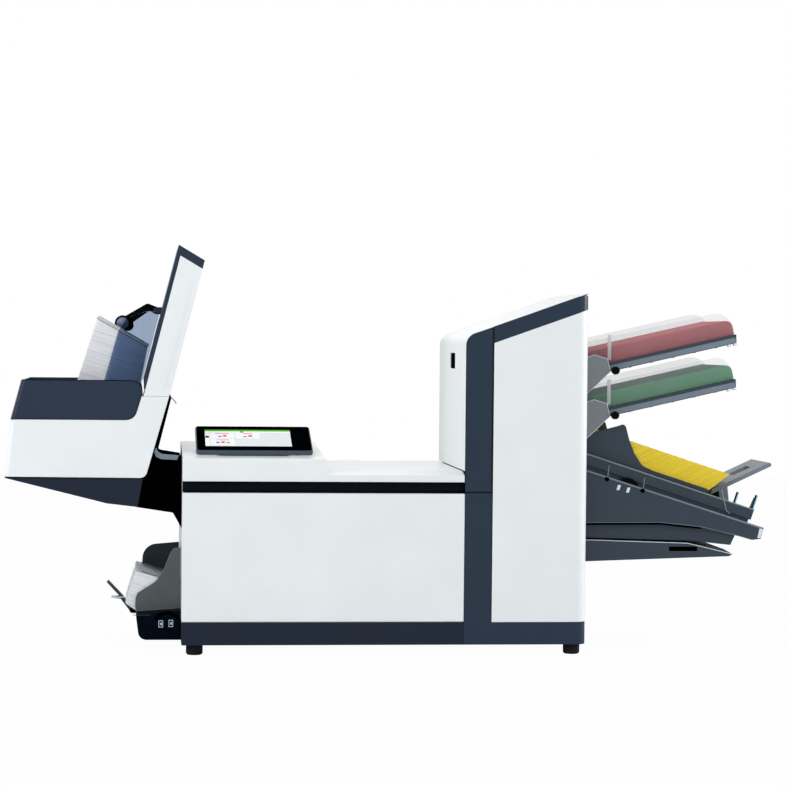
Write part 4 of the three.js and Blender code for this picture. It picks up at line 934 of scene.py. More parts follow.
@dataclass(frozen=True)
class Sheaf:
    """A CAD pile cut into the loose sheets or envelopes that it stands for."""

    node: str
    finish: Finish
    part: str
    tilt: float
    pitch: float
    gap: float = 0.35
    shift: float = 1.2
    steeper: float = 0.0
    weld: float = 0.01
    fewest: int = 4
    strays: Flat = (2.4, 5.1)
    stray_share: float = 0.5

    def build(self) -> None:
        """Cuts the pile along its sheets and shows the sheets in its place."""
        whole = Bench.solid(self.node, flat=False)
        square = self.normal(0.5)
        along = Vector((square.z, 0.0, -square.x))
        levels = [square.dot(vert.co) for vert in whole.verts]
        runs = [along.dot(vert.co) for vert in whole.verts]
        spare = (max(runs) - min(runs)) / 2 * math.tan(math.radians(abs(self.steeper) / 2))
        low, high = min(levels) - spare, max(levels) + spare
        count = max(1, int((high - low) / (self.pitch * MM)))
        middle = along * (max(runs) + min(runs)) / 2
        form = Form()
        for number in range(count):
            below, above = self.normal(number / count), self.normal((number + 1) / count)
            start = middle + square * (low + (high - low) * number / count)
            end = middle + square * (low + (high - low) * (number + 1) / count) - above * self.gap * MM
            self.cut_sheet(whole, form.mesh, (start, below), (end, above), number)
        whole.free()
        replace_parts(form.piece(f"{self.node}_sheets", self.finish, self.part), self.node)

    def normal(self, share: float) -> Vector:
        """Gives the direction square to the sheets at a share of the pile's height."""
        lean = math.radians(self.tilt + self.steeper * share)
        return Vector((math.sin(lean), 0.0, math.cos(lean)))

    def cut_sheet(self, whole: bmesh.types.BMesh, target: bmesh.types.BMesh, below: tuple[Vector, Vector],
                  above: tuple[Vector, Vector], number: int) -> None:
        """Cuts one sheet out of the pile and lays it, a little out of line, in the target.

        Args:
            whole: the pile's own solid.
            target: the mesh that gathers the sheets.
            below: a place on the plane under the sheet, and that plane's normal.
            above: a place on the plane over the sheet, and that plane's normal.
            number: which sheet it is, which sets how far it lies out of line.
        """
        sheet = whole.copy()
        normal = below[1]
        for (place, square), inner, outer in ((below, True, False), (above, False, True)):
            bmesh.ops.bisect_plane(sheet, geom=sheet.verts[:] + sheet.edges[:] + sheet.faces[:],
                                   plane_co=place, plane_no=square, clear_inner=inner, clear_outer=outer)
            bmesh.ops.remove_doubles(sheet, verts=sheet.verts[:], dist=self.weld * MM)
            bmesh.ops.holes_fill(sheet, edges=sheet.edges[:], sides=0)
        if len(sheet.faces) >= self.fewest:
            middle = sum((vert.co for vert in sheet.verts), Vector()) / len(sheet.verts)
            reach = max((vert.co - middle).length for vert in sheet.verts)
            share = 1 - self.shift * MM / reach
            run, side = (math.sin(number * stray) for stray in self.strays)
            aside = Vector((run * normal.z, side, -run * normal.x)) * self.shift * MM * self.stray_share
            for vert in sheet.verts:
                vert.co = middle + (vert.co - middle) * share + aside
            bmesh.ops.recalc_face_normals(sheet, faces=sheet.faces[:])
            data = bpy.data.meshes.new("sheet")
            sheet.to_mesh(data)
            target.from_mesh(data)
            bpy.data.meshes.remove(data)
        sheet.free()


@dataclass(frozen=True)
class Rounded:
    """A CAD node shown with one upright corner rounded more, so that light runs down it."""

    node: str
    part: str
    corner: Flat
    lean: float
    reach: float = 9.0
    steps: int = 8
    within: float = 24.0
    parallel: float = 0.995

    def build(self) -> None:
        """Rounds the corner's edges and shows the result in the node's place."""
        form = Form(Bench.solid(self.node))
        upright = Vector((math.sin(math.radians(self.lean)), 0.0, math.cos(math.radians(self.lean))))
        chosen = [edge for edge in form.mesh.edges if self.fits(edge, upright)]
        bmesh.ops.bevel(form.mesh, geom=chosen, offset=self.reach * MM, offset_type="OFFSET", segments=self.steps,
                        profile=0.5, affect="EDGES", material=-1, clamp_overlap=True)
        LOG.info("rounded %d edges of %s", len(chosen), self.node)
        dress = Wardrobe.DRESSES[self.node]
        piece = form.piece(f"{self.node}_rounded", dress.finish, self.part)
        dress.wrap(piece)
        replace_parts(piece, self.node)

    def fits(self, edge: bmesh.types.BMEdge, upright: Vector) -> bool:
        """Tells whether an edge runs along the corner and stands at it.

        Args:
            edge: the edge.
            upright: the corner's own direction.

        Returns:
            True where the edge belongs to the corner.
        """
        run = edge.verts[1].co - edge.verts[0].co
        middle = (edge.verts[0].co + edge.verts[1].co) / 2
        place = Bench.at(self.corner[0], self.corner[1], 0.0)
        near = abs(middle.x - place.x) < self.within * MM and abs(middle.y - place.y) < MM
        return near and run.length > self.reach * MM and abs(run.normalized().dot(upright)) > self.parallel


@dataclass(frozen=True)
class Screen:
    """The lit picture on the display's glass, with plain cards and no lettering."""

    tilt: float = 18.5
    glass_thickness: float = 1.5
    field_sides: Flat = (0.074, 0.828)
    field_ends: Flat = (0.137, 0.839)
    layer: float = 0.12
    tiles: tuple[tuple[Lit, int, Flat, Flat], ...] = (
        (Finishes.FIELD, 0, (0.0, 1.0), (0.0, 1.0)),
        (Finishes.LEAF, 1, (0.0, 1.0), (0.91, 1.0)),
        (Finishes.CARD, 1, (0.0, 0.05), (0.0, 0.9)),
        (Finishes.CARD, 1, (0.055, 1.0), (0.83, 0.9)),
        (Finishes.CARD, 1, (0.065, 0.34), (0.48, 0.81)),
        (Finishes.CARD, 1, (0.355, 0.635), (0.48, 0.81)),
        (Finishes.CARD, 1, (0.065, 0.34), (0.06, 0.42)),
        (Finishes.DARK_TAB, 2, (0.005, 0.045), (0.5, 0.61)),
        (Finishes.DARK_TAB, 2, (0.41, 0.45), (0.84, 0.89)),
        (Finishes.ORANGE, 2, (0.12, 0.28), (0.745, 0.775)),
        (Finishes.ORANGE, 2, (0.44, 0.55), (0.745, 0.775)),
        (Finishes.ORANGE, 2, (0.13, 0.28), (0.355, 0.385)),
        (Finishes.SKY_BLUE, 2, (0.155, 0.195), (0.55, 0.62)),
        (Finishes.ORANGE, 2, (0.21, 0.25), (0.57, 0.67)),
        (Finishes.SKY_BLUE, 2, (0.445, 0.485), (0.55, 0.61)),
        (Finishes.ORANGE, 2, (0.505, 0.55), (0.57, 0.67)),
        (Finishes.SKY_BLUE, 2, (0.125, 0.165), (0.17, 0.25)),
        (Finishes.ORANGE, 2, (0.185, 0.225), (0.18, 0.28)),
        (Finishes.LEAF, 2, (0.245, 0.285), (0.17, 0.24)),
    )

    def build(self) -> None:
        """Lays the tiles on the glass: each has a finish, a layer and its shares of the field's two sides."""
        low, high = Bench.box("display_glass")
        lean = math.radians(self.tilt)
        level = low.z + self.glass_thickness * math.cos(lean)
        length = (high.z - level) / math.sin(lean)
        left, right = (low.x + (high.x - low.x) * share for share in self.field_sides)
        near, far = (low.y + length * share for share in self.field_ends)
        forms: dict[tuple[Lit, int], Form] = {}
        for finish, layer, across, along in self.tiles:
            form = forms.setdefault((finish, layer), Form())
            start, end = (left + (right - left) * share for share in across)
            front, back = (near + (far - near) * share for share in along)
            form.block((start, front, level + self.layer * layer), (end, back, level + self.layer * (layer + 1)))
        for (finish, layer), form in forms.items():
            form.tilt(self.tilt, (left, low.y, level), Axis.X).piece(
                f"{finish.name}_{layer}", finish, "display_glass", Body.LID)


@dataclass(frozen=True)
class ShutLines:
    """The dark seal beside the front door, and the lips of the grip channel."""

    depth: float = 4.0
    width: float = 0.9
    lip: float = 3.0
    lip_edge: float = 0.6

    def build(self) -> None:
        """Adds the seal and the lips."""
        door_low, door_high = Bench.box("front_door")
        middle = (door_high.x + Bench.box("collator_strip")[0].x) / 2
        Form().block((middle - self.width / 2, self.depth, door_low.z),
                     (middle + self.width / 2, self.depth * 2, door_high.z)
                     ).piece("front_seals", Finishes.BLACK, "black_plastic")
        low, high = Bench.box("grip_channel")
        lips = Form()
        for level in (low.z, high.z - self.lip):
            lips.block((low.x + self.lip, low.y - self.lip * 2, level), (high.x - self.lip, low.y, level + self.lip))
        lips.soften(self.lip_edge).piece("grip_lips", Finishes.BLACK, "black_plastic")


@dataclass(frozen=True)
class StackerDetail:
    """The stacker's trims: dark underside, seals, column grooves and foot, top envelope, arm and roller."""

    skin: float = 1.2
    underside_shares: tuple[Flat, ...] = ((0.0, 1.0), (0.622, 0.123), (0.812, 0.0), (0.843, 1.0))
    underside_height: float = 56.0
    seal_radius: float = 0.8
    groove_shares: tuple[float, ...] = (0.82, 0.88)
    groove_width: float = 0.8
    groove_rise: float = 0.2
    column_lean: float = 14.2
    column_margin: float = 12.0
    column_top: float = 48.0
    strip_path: tuple[Flat, ...] = ((-50.0, 392.0), (-46.0, 384.0), (-38.0, 379.5), (-6.0, 377.0), (-10.0, 368.0),
                                    (-40.0, 369.5), (-50.0, 374.0), (-54.0, 383.0))
    hook_path: tuple[Flat, ...] = ((-24.0, 488.0), (-20.0, 486.0), (-15.0, 481.0), (-12.0, 476.0))
    trim_foot: tuple[Flat, ...] = ((-75.0, 521.0), (-67.4, 521.0), (-71.6, 504.0), (-74.3, 504.0))
    rim_radius: float = 13.4
    rim_wire: float = 2.0
    disc_depth: Flat = (3.2, 9.0)
    disc_tip: float = 4.0
    arm_top: tuple[Flat, ...] = ((-122.0, 638.5), (-71.5, 668.5), (-68.0, 669.6), (-46.5, 661.0))
    arm_low: tuple[Flat, ...] = ((-45.5, 651.6), (-66.0, 654.5), (-96.0, 633.0))
    arm_lobe: Flat = (-106.5, 626.8)
    lobe_radius: float = 11.5
    lobe_turn: Flat = (20.0, -180.0)
    arm_skin: Flat = (0.1, 2.6)
    pile_slope: float = 29.6
    flap_depth: Flat = (1.0, 84.0)
    flap_rise: float = 4.0
    flap_skin: float = 0.5
    strip_run: Flat = (0.5, 0.9)
    strip_depth: Flat = (48.0, 72.0)

    def build(self) -> None:
        """Adds every trim of the stacker."""
        self.build_top_envelope()
        self.build_arm_cover()
        self.build_shell()
        self.build_column()
        self.build_roller_rim()

    def build_top_envelope(self) -> None:
        """Adds the top envelope's flap, which stands a little open, the green strip printed on it, and a dark line
        under the flap's front edge, which is painted shadow.
        """
        outline = Bench.front("stacked_envelopes")
        peak = max(outline, key=lambda point: point[1])
        end = max(outline, key=lambda point: point[0])
        near = Bench.near("stacked_envelopes")
        length = math.hypot(end[0] - peak[0], end[1] - peak[1])
        pivot = (peak[0], near, peak[1])
        for name, run, depth, level, finish in (
            ("envelope_flap", (0.0, 1.0), self.flap_depth, self.flap_skin, Finishes.PAPER),
            ("envelope_strip", self.strip_run, self.strip_depth, self.flap_skin * 2, Finishes.GREEN_SHEETS),
        ):
            form = Form().block((peak[0] + length * run[0], near + depth[0], peak[1] + level),
                                (peak[0] + length * run[1], near + depth[1], peak[1] + level + self.flap_skin))
            form.tilt(self.flap_rise, pivot, Axis.X).tilt(self.pile_slope, pivot)
            form.piece(name, finish, "white_paper")
        # A dark line along the pile's top front edge under the open flap: painted shadow.
        Form().tube([pivot, (end[0], near, end[1])], self.flap_skin, sides=6).piece(
            "envelope_edge", Finishes.NAVY, "white_paper")

    def build_arm_cover(self) -> None:
        """Adds the press arm's full black side with its round end."""
        near = Bench.near("press_arm")
        lobe = arc(self.arm_lobe, self.lobe_radius, *self.lobe_turn, steps=16)
        Form().prism([*self.arm_top, *self.arm_low, *lobe], near - self.arm_skin[1], near - self.arm_skin[0]).piece(
            "arm_cover", Finishes.BLACK, "black_plastic", Body.ARM)

    def build_shell(self) -> None:
        """Adds the shell's dark underside, the seal around the rim and the bracket's pale strip."""
        low, high = Bench.box("stacker_shell")
        near = Bench.near("stacker_bracket")
        base = low.z - self.underside_height
        under = [(low.x + (high.x - low.x) * across, base + (self.underside_height - self.skin) * up)
                 for across, up in self.underside_shares]
        Form().prism(under, near - self.skin, near).piece("stacker_underside", Finishes.SKIRT, "navy_trim")
        Form().bead(Bench.front("stacker_rim"), low.y, self.seal_radius).piece(
            "rim_seal", Finishes.BLACK, "black_plastic")
        Form().prism(self.strip_path, near - self.skin, near).piece(
            "bracket_strip", Finishes.SLATE_LIGHT, "slate_plastic")

    def build_column(self) -> None:
        """Adds the column's two faint grooves, its dark foot and its hook."""
        low, high = Bench.box("stacker_column")
        lean = math.tan(math.radians(self.column_lean))
        width = high.x - low.x - (high.z - low.z) * lean
        start, top = low.z + self.column_margin, high.z - self.column_top
        grooves = Form()
        for share in self.groove_shares:
            foot = low.x + width * share
            corners = ((start, 0.0), (start, self.groove_width), (top, self.groove_width), (top, 0.0))
            grooves.prism([(foot + (level - low.z) * lean + side, level) for level, side in corners],
                          low.y - self.groove_rise, low.y)
        grooves.piece("column_grooves", Finishes.PALE_CLIP, "white_cover")
        Form().prism(self.trim_foot, low.y, high.y).piece("trim_foot", Finishes.NAVY, "navy_trim")
        hook = [(x, low.y + self.column_margin, z) for x, z in self.hook_path]
        Form().tube(hook, self.seal_radius, sides=8).piece("column_hook", Finishes.BLACK, "black_plastic")

    def build_roller_rim(self) -> None:
        """Adds the domed disc on the press roller's near end, and its black rim."""
        low, high = Bench.box("press_roller")
        middle = (low + high) / 2
        back, front = low.y - self.disc_depth[0], low.y - self.disc_depth[1]
        disc = Form().rod((middle.x, back, middle.z), (middle.x, front, middle.z), self.rim_radius, self.disc_tip, 48)
        disc.piece("roller_disc", Finishes.DISC, "rubber", Body.ARM_ROLLER)
        rim = [(x, back, z) for x, z in arc((middle.x, middle.z), self.rim_radius, 0.0, 360.0, steps=32)]
        Form().tube(rim, self.rim_wire).piece("roller_rim", Finishes.BLACK, "rubber", Body.ARM_ROLLER)


@dataclass(frozen=True)
class HopperDetail:
    """The hopper's trims: guide edge with a painted highlight, the far guide's bend, plate with painted shade, wheel
    slot of painted shade, a painted highlight line on the housing, signs and the lever's foot.
    """

    edge_radius: float = 0.5
    signs: tuple[Flat, ...] = ((-38.6, 53.0), (-19.4, 54.0))
    sign_size: Flat = (8.6, 13.4)
    sign_line: float = 1.1
    sign_rise: float = 0.4
    foot_low: Point = (-134.0, 221.0, 87.0)
    foot_high: Point = (-108.0, 239.0, 90.0)
    slot_shade_radii: Flat = (20.0, 26.2)
    slot_shade_ends: Flat = (25.0, 155.0)
    highlight_low: Flat = (-92.0, 69.6)
    highlight_high: Flat = (-58.0, 70.8)
    bend: Point = (-45.0, 155.5, 29.5)
    bend_turn: Flat = (95.0, 172.0)
    plate_run: Flat = (11.0, 99.0)
    plate_depth: Flat = (14.0, 218.0)
    plate_skin: float = 1.4
    plate_edge: float = 0.3
    foot_edge: float = 0.8
    pile_slope: float = 16.8

    def build(self) -> None:
        """Adds the hopper's small pieces."""
        self.build_far_guide()
        self.build_plate_and_shade()
        self.build_slot_shade()
        # A pale line along the near guide's front edge: painted highlight.
        guide_low, _ = Bench.box("hopper_guide_near")
        path = [(x, guide_low.y, z) for x, z in Bench.front("hopper_guide_near")]
        Form().tube(path, self.edge_radius, sides=6).piece(
            "guide_edge", Finishes.BRACKET, "guide_plastic", Body.HOPPER_NEAR)
        self.build_signs()
        Form().block(self.foot_low, self.foot_high).soften(self.foot_edge).piece(
            "lever_foot", Finishes.BRIGHT, "black_plastic", Body.LEVER)

    def build_signs(self) -> None:
        """Adds two plain signs: a frame of four bars around a block each."""
        face = Bench.near("hopper_housing")
        form = Form()
        width, height = self.sign_size
        line = self.sign_line
        for x, z in self.signs:
            left, right, low, high = x - width / 2, x + width / 2, z - height / 2, z + height / 2
            for corner, far in (((left, low), (left + line, high)), ((right - line, low), (right, high)),
                                ((left + line, low), (right - line, low + line)),
                                ((left + line, high - line), (right - line, high)),
                                ((x - line, z - line * 2), (x + line * 2, z + line * 2))):
                form.block((corner[0], face - self.sign_rise, corner[1]), (far[0], face, far[1]))
        form.piece("hopper_signs", Finishes.MARK, "navy_trim")

    def build_far_guide(self) -> None:
        """Shows the far guide with its upper corner as one round bend."""
        outline = Bench.front("hopper_guide_far")
        low, high = Bench.box("hopper_guide_far")
        *middle, radius = self.bend
        bend = arc(tuple(middle), radius, *self.bend_turn, steps=12)
        foot = min(outline, key=lambda point: point[0])
        corner = min((point for point in outline if point[0] > high.x - 1), key=lambda point: point[1])
        piece = Form().prism([(corner[0], high.z), *bend, foot, corner], low.y, high.y).piece(
            "hopper_guide_far_bent", Finishes.FAR, "slate_plastic", Body.HOPPER_FAR)
        Wardrobe.DRESSES["hopper_guide_far"].wrap(piece)
        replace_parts(piece, "hopper_guide_far")

    def build_plate_and_shade(self) -> None:
        """Adds the flat plate that lies on the pile of envelopes; its blue-grey is also painted shade along the
        envelopes' front edges.
        """
        peak = max(Bench.front("hopper_envelopes"), key=lambda point: point[1])
        near = Bench.near("hopper_envelopes")
        # The plate's blue-grey also stands in as painted shade along the envelopes' front edges.
        form = Form().block((peak[0] + self.plate_run[0], near + self.plate_depth[0], peak[1] + self.sign_rise),
                            (peak[0] + self.plate_run[1], near + self.plate_depth[1], peak[1] + self.plate_skin))
        form.tilt(self.pile_slope, (peak[0], near, peak[1])).soften(self.plate_edge)
        form.piece("hopper_plate", Finishes.SLATE_LIGHT, "slate_plastic")

    def build_slot_shade(self) -> None:
        """Adds a black arc around the thumbwheel, painted shade of the slot opening that also stands in for the
        wheel's wider black rim, and a pale line on the housing beside it, which is a painted highlight.
        """
        low, high = Bench.box("hopper_thumbwheel")
        middle = (low + high) / 2
        face = Bench.near("hopper_housing")
        inner, outer = self.slot_shade_radii
        start, end = self.slot_shade_ends
        there = arc((middle.x, middle.z), outer, start, end, steps=16)
        back = arc((middle.x, middle.z), inner, end, start, steps=16)
        # Black arc: painted shade of the slot opening round the wheel, also standing in for the wheel's wider black
        # rim.
        Form().prism(there + back, face - self.sign_rise, face).piece("wheel_slot", Finishes.PITCH, "navy_trim")
        # A pale line along the housing's top edge: painted highlight.
        Form().block((self.highlight_low[0], face - self.sign_rise, self.highlight_low[1]),
                     (self.highlight_high[0], face, self.highlight_high[1])).piece(
            "housing_ledge", Finishes.FAR, "navy_trim")


@dataclass(frozen=True)
class Ramp:
    """A sloped tray's own line, measured from its upper left corner."""

    start: Flat
    slope: float

    @classmethod
    def rising(cls, node: str, thickness: float, slope: float) -> "Ramp":
        """Finds the line of a tray that rises to the right.

        Args:
            node: the tray's CAD node.
            thickness: how thick the tray is.
            slope: its slope in degrees.

        Returns:
            The ramp.
        """
        low, _ = Bench.box(node)
        return cls((low.x, low.z + thickness * math.cos(math.radians(slope))), slope)

    @classmethod
    def falling(cls, node: str, thickness: float, slope: float) -> "Ramp":
        """Finds the line of a rail that falls to the right.

        Args:
            node: the rail's CAD node.
            thickness: how thick the rail is.
            slope: its slope in degrees.

        Returns:
            The ramp.
        """
        low, high = Bench.box(node)
        return cls((low.x + thickness * math.sin(math.radians(slope)), high.z), -slope)

    def block(self, form: Form, along: Flat, deep: Flat, up: Flat) -> Form:
        """Adds a box in the ramp's own directions; tilt it afterwards with lay."""
        return form.block((self.start[0] + along[0], deep[0], self.start[1] + up[0]),
                          (self.start[0] + along[1], deep[1], self.start[1] + up[1]))

    def lay(self, form: Form) -> Form:
        """Tilts a form that was drawn level onto the ramp."""
        return form.tilt(-self.slope, (self.start[0], 0.0, self.start[1]))


@dataclass(frozen=True)
class StationDetail:
    """One document station's tray side, ribs, end clips, guide band and bracket edge."""

    number: int
    body: Body
    slope: float = 13.0
    thickness: float = 17.0
    length: float = 309.0
    skin: float = 0.8
    margin: float = 4.0
    side_drop: float = 6.0
    rib_count: int = 6
    rib_width: float = 3.0
    rib_drop: float = 2.0
    clip_length: float = 6.0
    clip_drop: float = 5.0
    clip_depth: float = 10.0
    clip_steps: Flat = (1.5, 3.5)
    band_inset: float = 46.0
    band_foot: float = 16.0
    band_width: float = 7.0
    band_height: float = 50.0
    edge_radius: float = 0.6

    def build(self) -> None:
        """Adds the station's pieces."""
        tray = f"document_tray_{self.number}"
        low, high = Bench.box(tray)
        ramp = Ramp.rising(tray, self.thickness, self.slope)
        side = ramp.block(Form(), (self.margin, self.length - self.margin), (low.y - self.skin, low.y),
                          (-self.thickness + self.skin, -self.side_drop))
        ramp.lay(side).piece(f"tray_side_{self.number}", Finishes.SLATE_LIGHT, "slate_plastic")
        ribs = Form()
        pitch = self.length / (self.rib_count + 1)
        deep = (low.y + self.clip_depth, high.y - self.clip_depth)
        for rib in range(1, self.rib_count + 1):
            ramp.block(ribs, (pitch * rib, pitch * rib + self.rib_width), deep,
                       (-self.thickness - self.rib_drop, -self.thickness))
        ramp.lay(ribs).piece(f"tray_ribs_{self.number}", Finishes.SLATE, "slate_plastic")
        clips = Form()
        for step in self.clip_steps:
            start = self.length - self.clip_length * step
            ramp.block(clips, (start, start + self.clip_length), (low.y, low.y + self.clip_depth),
                       (-self.thickness - self.clip_drop, -self.thickness))
        ramp.lay(clips).piece(f"tray_clips_{self.number}", Finishes.PALE_CLIP, "slate_plastic")
        guide, _ = Bench.box(f"guide_near_{self.number}")
        left, foot = guide.x + self.band_inset, guide.z + self.band_foot
        Form().block((left, guide.y - self.skin, foot), (left + self.band_width, guide.y, foot + self.band_height)
                     ).piece(f"guide_band_{self.number}", Finishes.CLIP, "clear_plastic", self.body)
        bracket = f"feed_bracket_{self.number}"
        Form().bead(Bench.front(bracket), Bench.near(bracket), self.edge_radius).piece(
            f"bracket_edge_{self.number}", Finishes.PALE_CLIP, "slate_plastic")


@dataclass(frozen=True)
class InsertFeederDetail:
    """The insert feeder's light edges, painted highlights along the housing and the lower tray, a painted shadow
    under the housing, marks, blue prong edges and wire.
    """

    slope: float = 18.0
    thickness: float = 22.0
    length: float = 362.0
    edge_radius: float = 0.7
    pale_line_radius: float = 1.5
    filler_height: float = 11.0
    filler_inset: float = 4.0
    marks: tuple[Flat, ...] = ((851.0, 318.0), (870.0, 313.0))
    mark_size: Flat = (6.0, 10.0)
    mark_lean: float = 3.0
    mark_rise: float = 0.4
    prongs: tuple[Flat, ...] = ((318.0, 22.0), (356.0, 28.0))
    prong_width: float = 2.2
    prong_depth: float = 6.0
    wire_path: tuple[Flat, ...] = ((1062.0, 314.0), (1067.0, 294.0), (1072.0, 272.0), (1079.0, 266.0))
    wire_radius: float = 1.1
    facet: tuple[Flat, ...] = ((1135.0, 238.0), (1142.6, 238.6), (1136.8, 219.0), (1131.0, 219.6))
    shadow_line: Flat = (1095.0, -2.6)
    shadow_radius: float = 1.95
    struts: tuple[tuple[Flat, Flat], ...] = (((829.0, 334.5), (832.0, 361.0)), ((900.0, 312.0), (903.0, 337.0)))
    strut_skin: float = 1.4
    strut_foot: float = 4.2

    def build(self) -> None:
        """Adds the feeder's pieces."""
        self.build_highlight_and_shadow()
        front = Bench.near("lower_tray")
        # A pale line along the lower tray's upper edge: painted highlight.
        Form().tube([(x, front, z) for x, z in Bench.upper_edge("lower_tray")], self.edge_radius, sides=8).piece(
            "tray_line", Finishes.PALE_CLIP, "slate_plastic")
        self.build_struts()
        self.build_rail()
        self.build_marks()
        wire = [(x, Bench.near("insert_rail") - self.wire_radius, z) for x, z in self.wire_path]
        Form().tube(wire, self.wire_radius, sides=8).piece("pusher_wire", Finishes.BRACKET, "slate_plastic")

    def build_highlight_and_shadow(self) -> None:
        """Adds a pale line along the housing's longest edge, which is a painted highlight, and a dark line under the
        front face, which is painted shadow where the housing's lower part sets back.
        """
        near = Bench.near("insert_housing")
        outline = Bench.front("insert_housing")
        start, end = sorted(max(zip(outline, outline[1:] + outline[:1]), key=lambda edge: math.dist(*edge)))
        # A pale line along the housing's top edge: painted highlight.
        Form().tube([(x, near, z - self.pale_line_radius) for x, z in (start, end)], self.pale_line_radius, sides=10).piece(
            "housing_lip", Finishes.SLATE_LIGHT, "slate_plastic")
        slope = (end[1] - start[1]) / (end[0] - start[0])
        under = sorted(point for point in outline if point[0] < self.shadow_line[0]
                       and point[1] < start[1] + slope * (point[0] - start[0]) - self.thickness)
        # A dark line just under the housing's front face: painted shadow where the lower part sets back.
        Form().tube([(x, near, z + self.shadow_line[1]) for x, z in under], self.shadow_radius, sides=8).piece(
            "housing_recess", Finishes.PITCH, "slate_plastic")

    def build_struts(self) -> None:
        """Adds the two struts that hold the rail and their round feet."""
        near = Bench.near("insert_housing")
        front = near - self.strut_skin * 2
        plates, feet = Form(), Form()
        for (x, z), head in self.struts:
            plates.prism([(x, z), (x + self.strut_skin, z), (head[0] + self.strut_skin, head[1]), head],
                         front, near - self.mark_rise)
            feet.rod((x, front, z), (x, near, z), self.strut_foot, sides=20)
        plates.piece("rail_struts", Finishes.BRACKET, "slate_plastic")
        feet.piece("strut_feet", Finishes.PITCH, "slate_plastic")

    def build_rail(self) -> None:
        """Adds the rail's pale edge, the filler under it and its prongs."""
        low, high = Bench.box("insert_rail")
        ramp = Ramp.falling("insert_rail", self.thickness, self.slope)
        left, level = ramp.start[0], ramp.start[1] - self.pale_line_radius
        edge = Form().tube([(left, low.y, level), (left + self.length, low.y, level)], self.pale_line_radius, sides=8)
        ramp.lay(edge).piece("rail_edge", Finishes.BRACKET, "slate_plastic")
        filler = ramp.block(Form(), (self.filler_inset, self.length - self.filler_inset),
                            (low.y + self.filler_inset, high.y - self.filler_inset),
                            (-self.thickness - self.filler_height, -self.thickness))
        ramp.lay(filler).piece("rail_filler", Finishes.SLATE, "slate_plastic")
        for name, finish, step in (("prong_backs", Finishes.BLACK, 0.0), ("prong_edges", Finishes.BLUE_EDGE, 1.0)):
            prongs = Form()
            for place, height in self.prongs:
                start = place + self.prong_width * step
                ramp.block(prongs, (start, start + self.prong_width), (low.y, low.y + self.prong_depth),
                           (-self.edge_radius, height))
            ramp.lay(prongs).piece(name, finish, "slate_plastic")

    def build_marks(self) -> None:
        """Adds a pale line all round the housing's front face, which is a painted highlight, its two marks and its
        end facet.
        """
        near = Bench.near("insert_housing")
        # A pale line all round the housing's front face: painted highlight.
        Form().bead(Bench.front("insert_housing"), near, self.edge_radius).piece(
            "housing_edge", Finishes.SLATE_LIGHT, "slate_plastic")
        marks = Form()
        half, height = self.mark_size[0] / 2, self.mark_size[1] / 2
        for x, z in self.marks:
            head = x + self.mark_lean
            marks.prism([(x - half, z - height), (x + half, z - height), (head + half, z + height),
                         (head - half, z + height)], near - self.mark_rise, near)
        marks.piece("feeder_marks", Finishes.PALE_CLIP, "slate_plastic")
        Form().prism(self.facet, near - self.mark_rise, near).piece(
            "housing_facet", Finishes.PALE_CLIP, "slate_plastic")


@dataclass(frozen=True)
class TowerDetail:
    """Dark seals of the tower's front and the mains inlet's pins at its back."""

    seal_width: float = 1.6
    seal_depth: float = 4.0
    seal_set: float = 0.3
    outline_radius: float = 0.6
    pins: tuple[Flat, ...] = ((-7.0, -3.0), (7.0, -3.0), (0.0, 4.0))
    pin_radius: float = 1.6
    pin_length: float = 14.0

    def build(self) -> None:
        """Adds the seals, the dark outlines and the pins."""
        strip_low, strip_high = Bench.box("collator_strip")
        panel_low, _ = Bench.box("tower_side_panel")
        _, frame_high = Bench.box("tower_frame")
        seals = Form()
        line = (strip_high.x + panel_low.x) / 2
        seals.block((line - self.seal_width / 2, self.seal_set, panel_low.z),
                    (line + self.seal_width / 2, self.seal_depth, strip_high.z - self.seal_depth))
        level = (frame_high.z + strip_low.z) / 2
        seals.block((strip_low.x, self.seal_set, level - self.seal_width / 2),
                    (strip_high.x, self.seal_depth, level + self.seal_width / 2))
        seals.piece("tower_seals", Finishes.BLACK, "black_plastic")
        for node in ("collator_strip", "tower_top_trim"):
            front = Bench.near(node) + self.outline_radius
            Form().bead(Bench.front(node), front, self.outline_radius).piece(
                f"{node}_line", Finishes.BLACK, "navy_trim")
        inlet_low, inlet_high = Bench.box("mains_inlet")
        start, end = inlet_low.y + self.seal_depth, inlet_low.y + self.seal_depth + self.pin_length
        pins = Form()
        for across, up in self.pins:
            x, z = (inlet_low.x + inlet_high.x) / 2 + across, (inlet_low.z + inlet_high.z) / 2 + up
            pins.rod((x, start, z), (x, end, z), self.pin_radius, sides=12)
        pins.piece("inlet_pins", Finishes.BRIGHT, "steel")


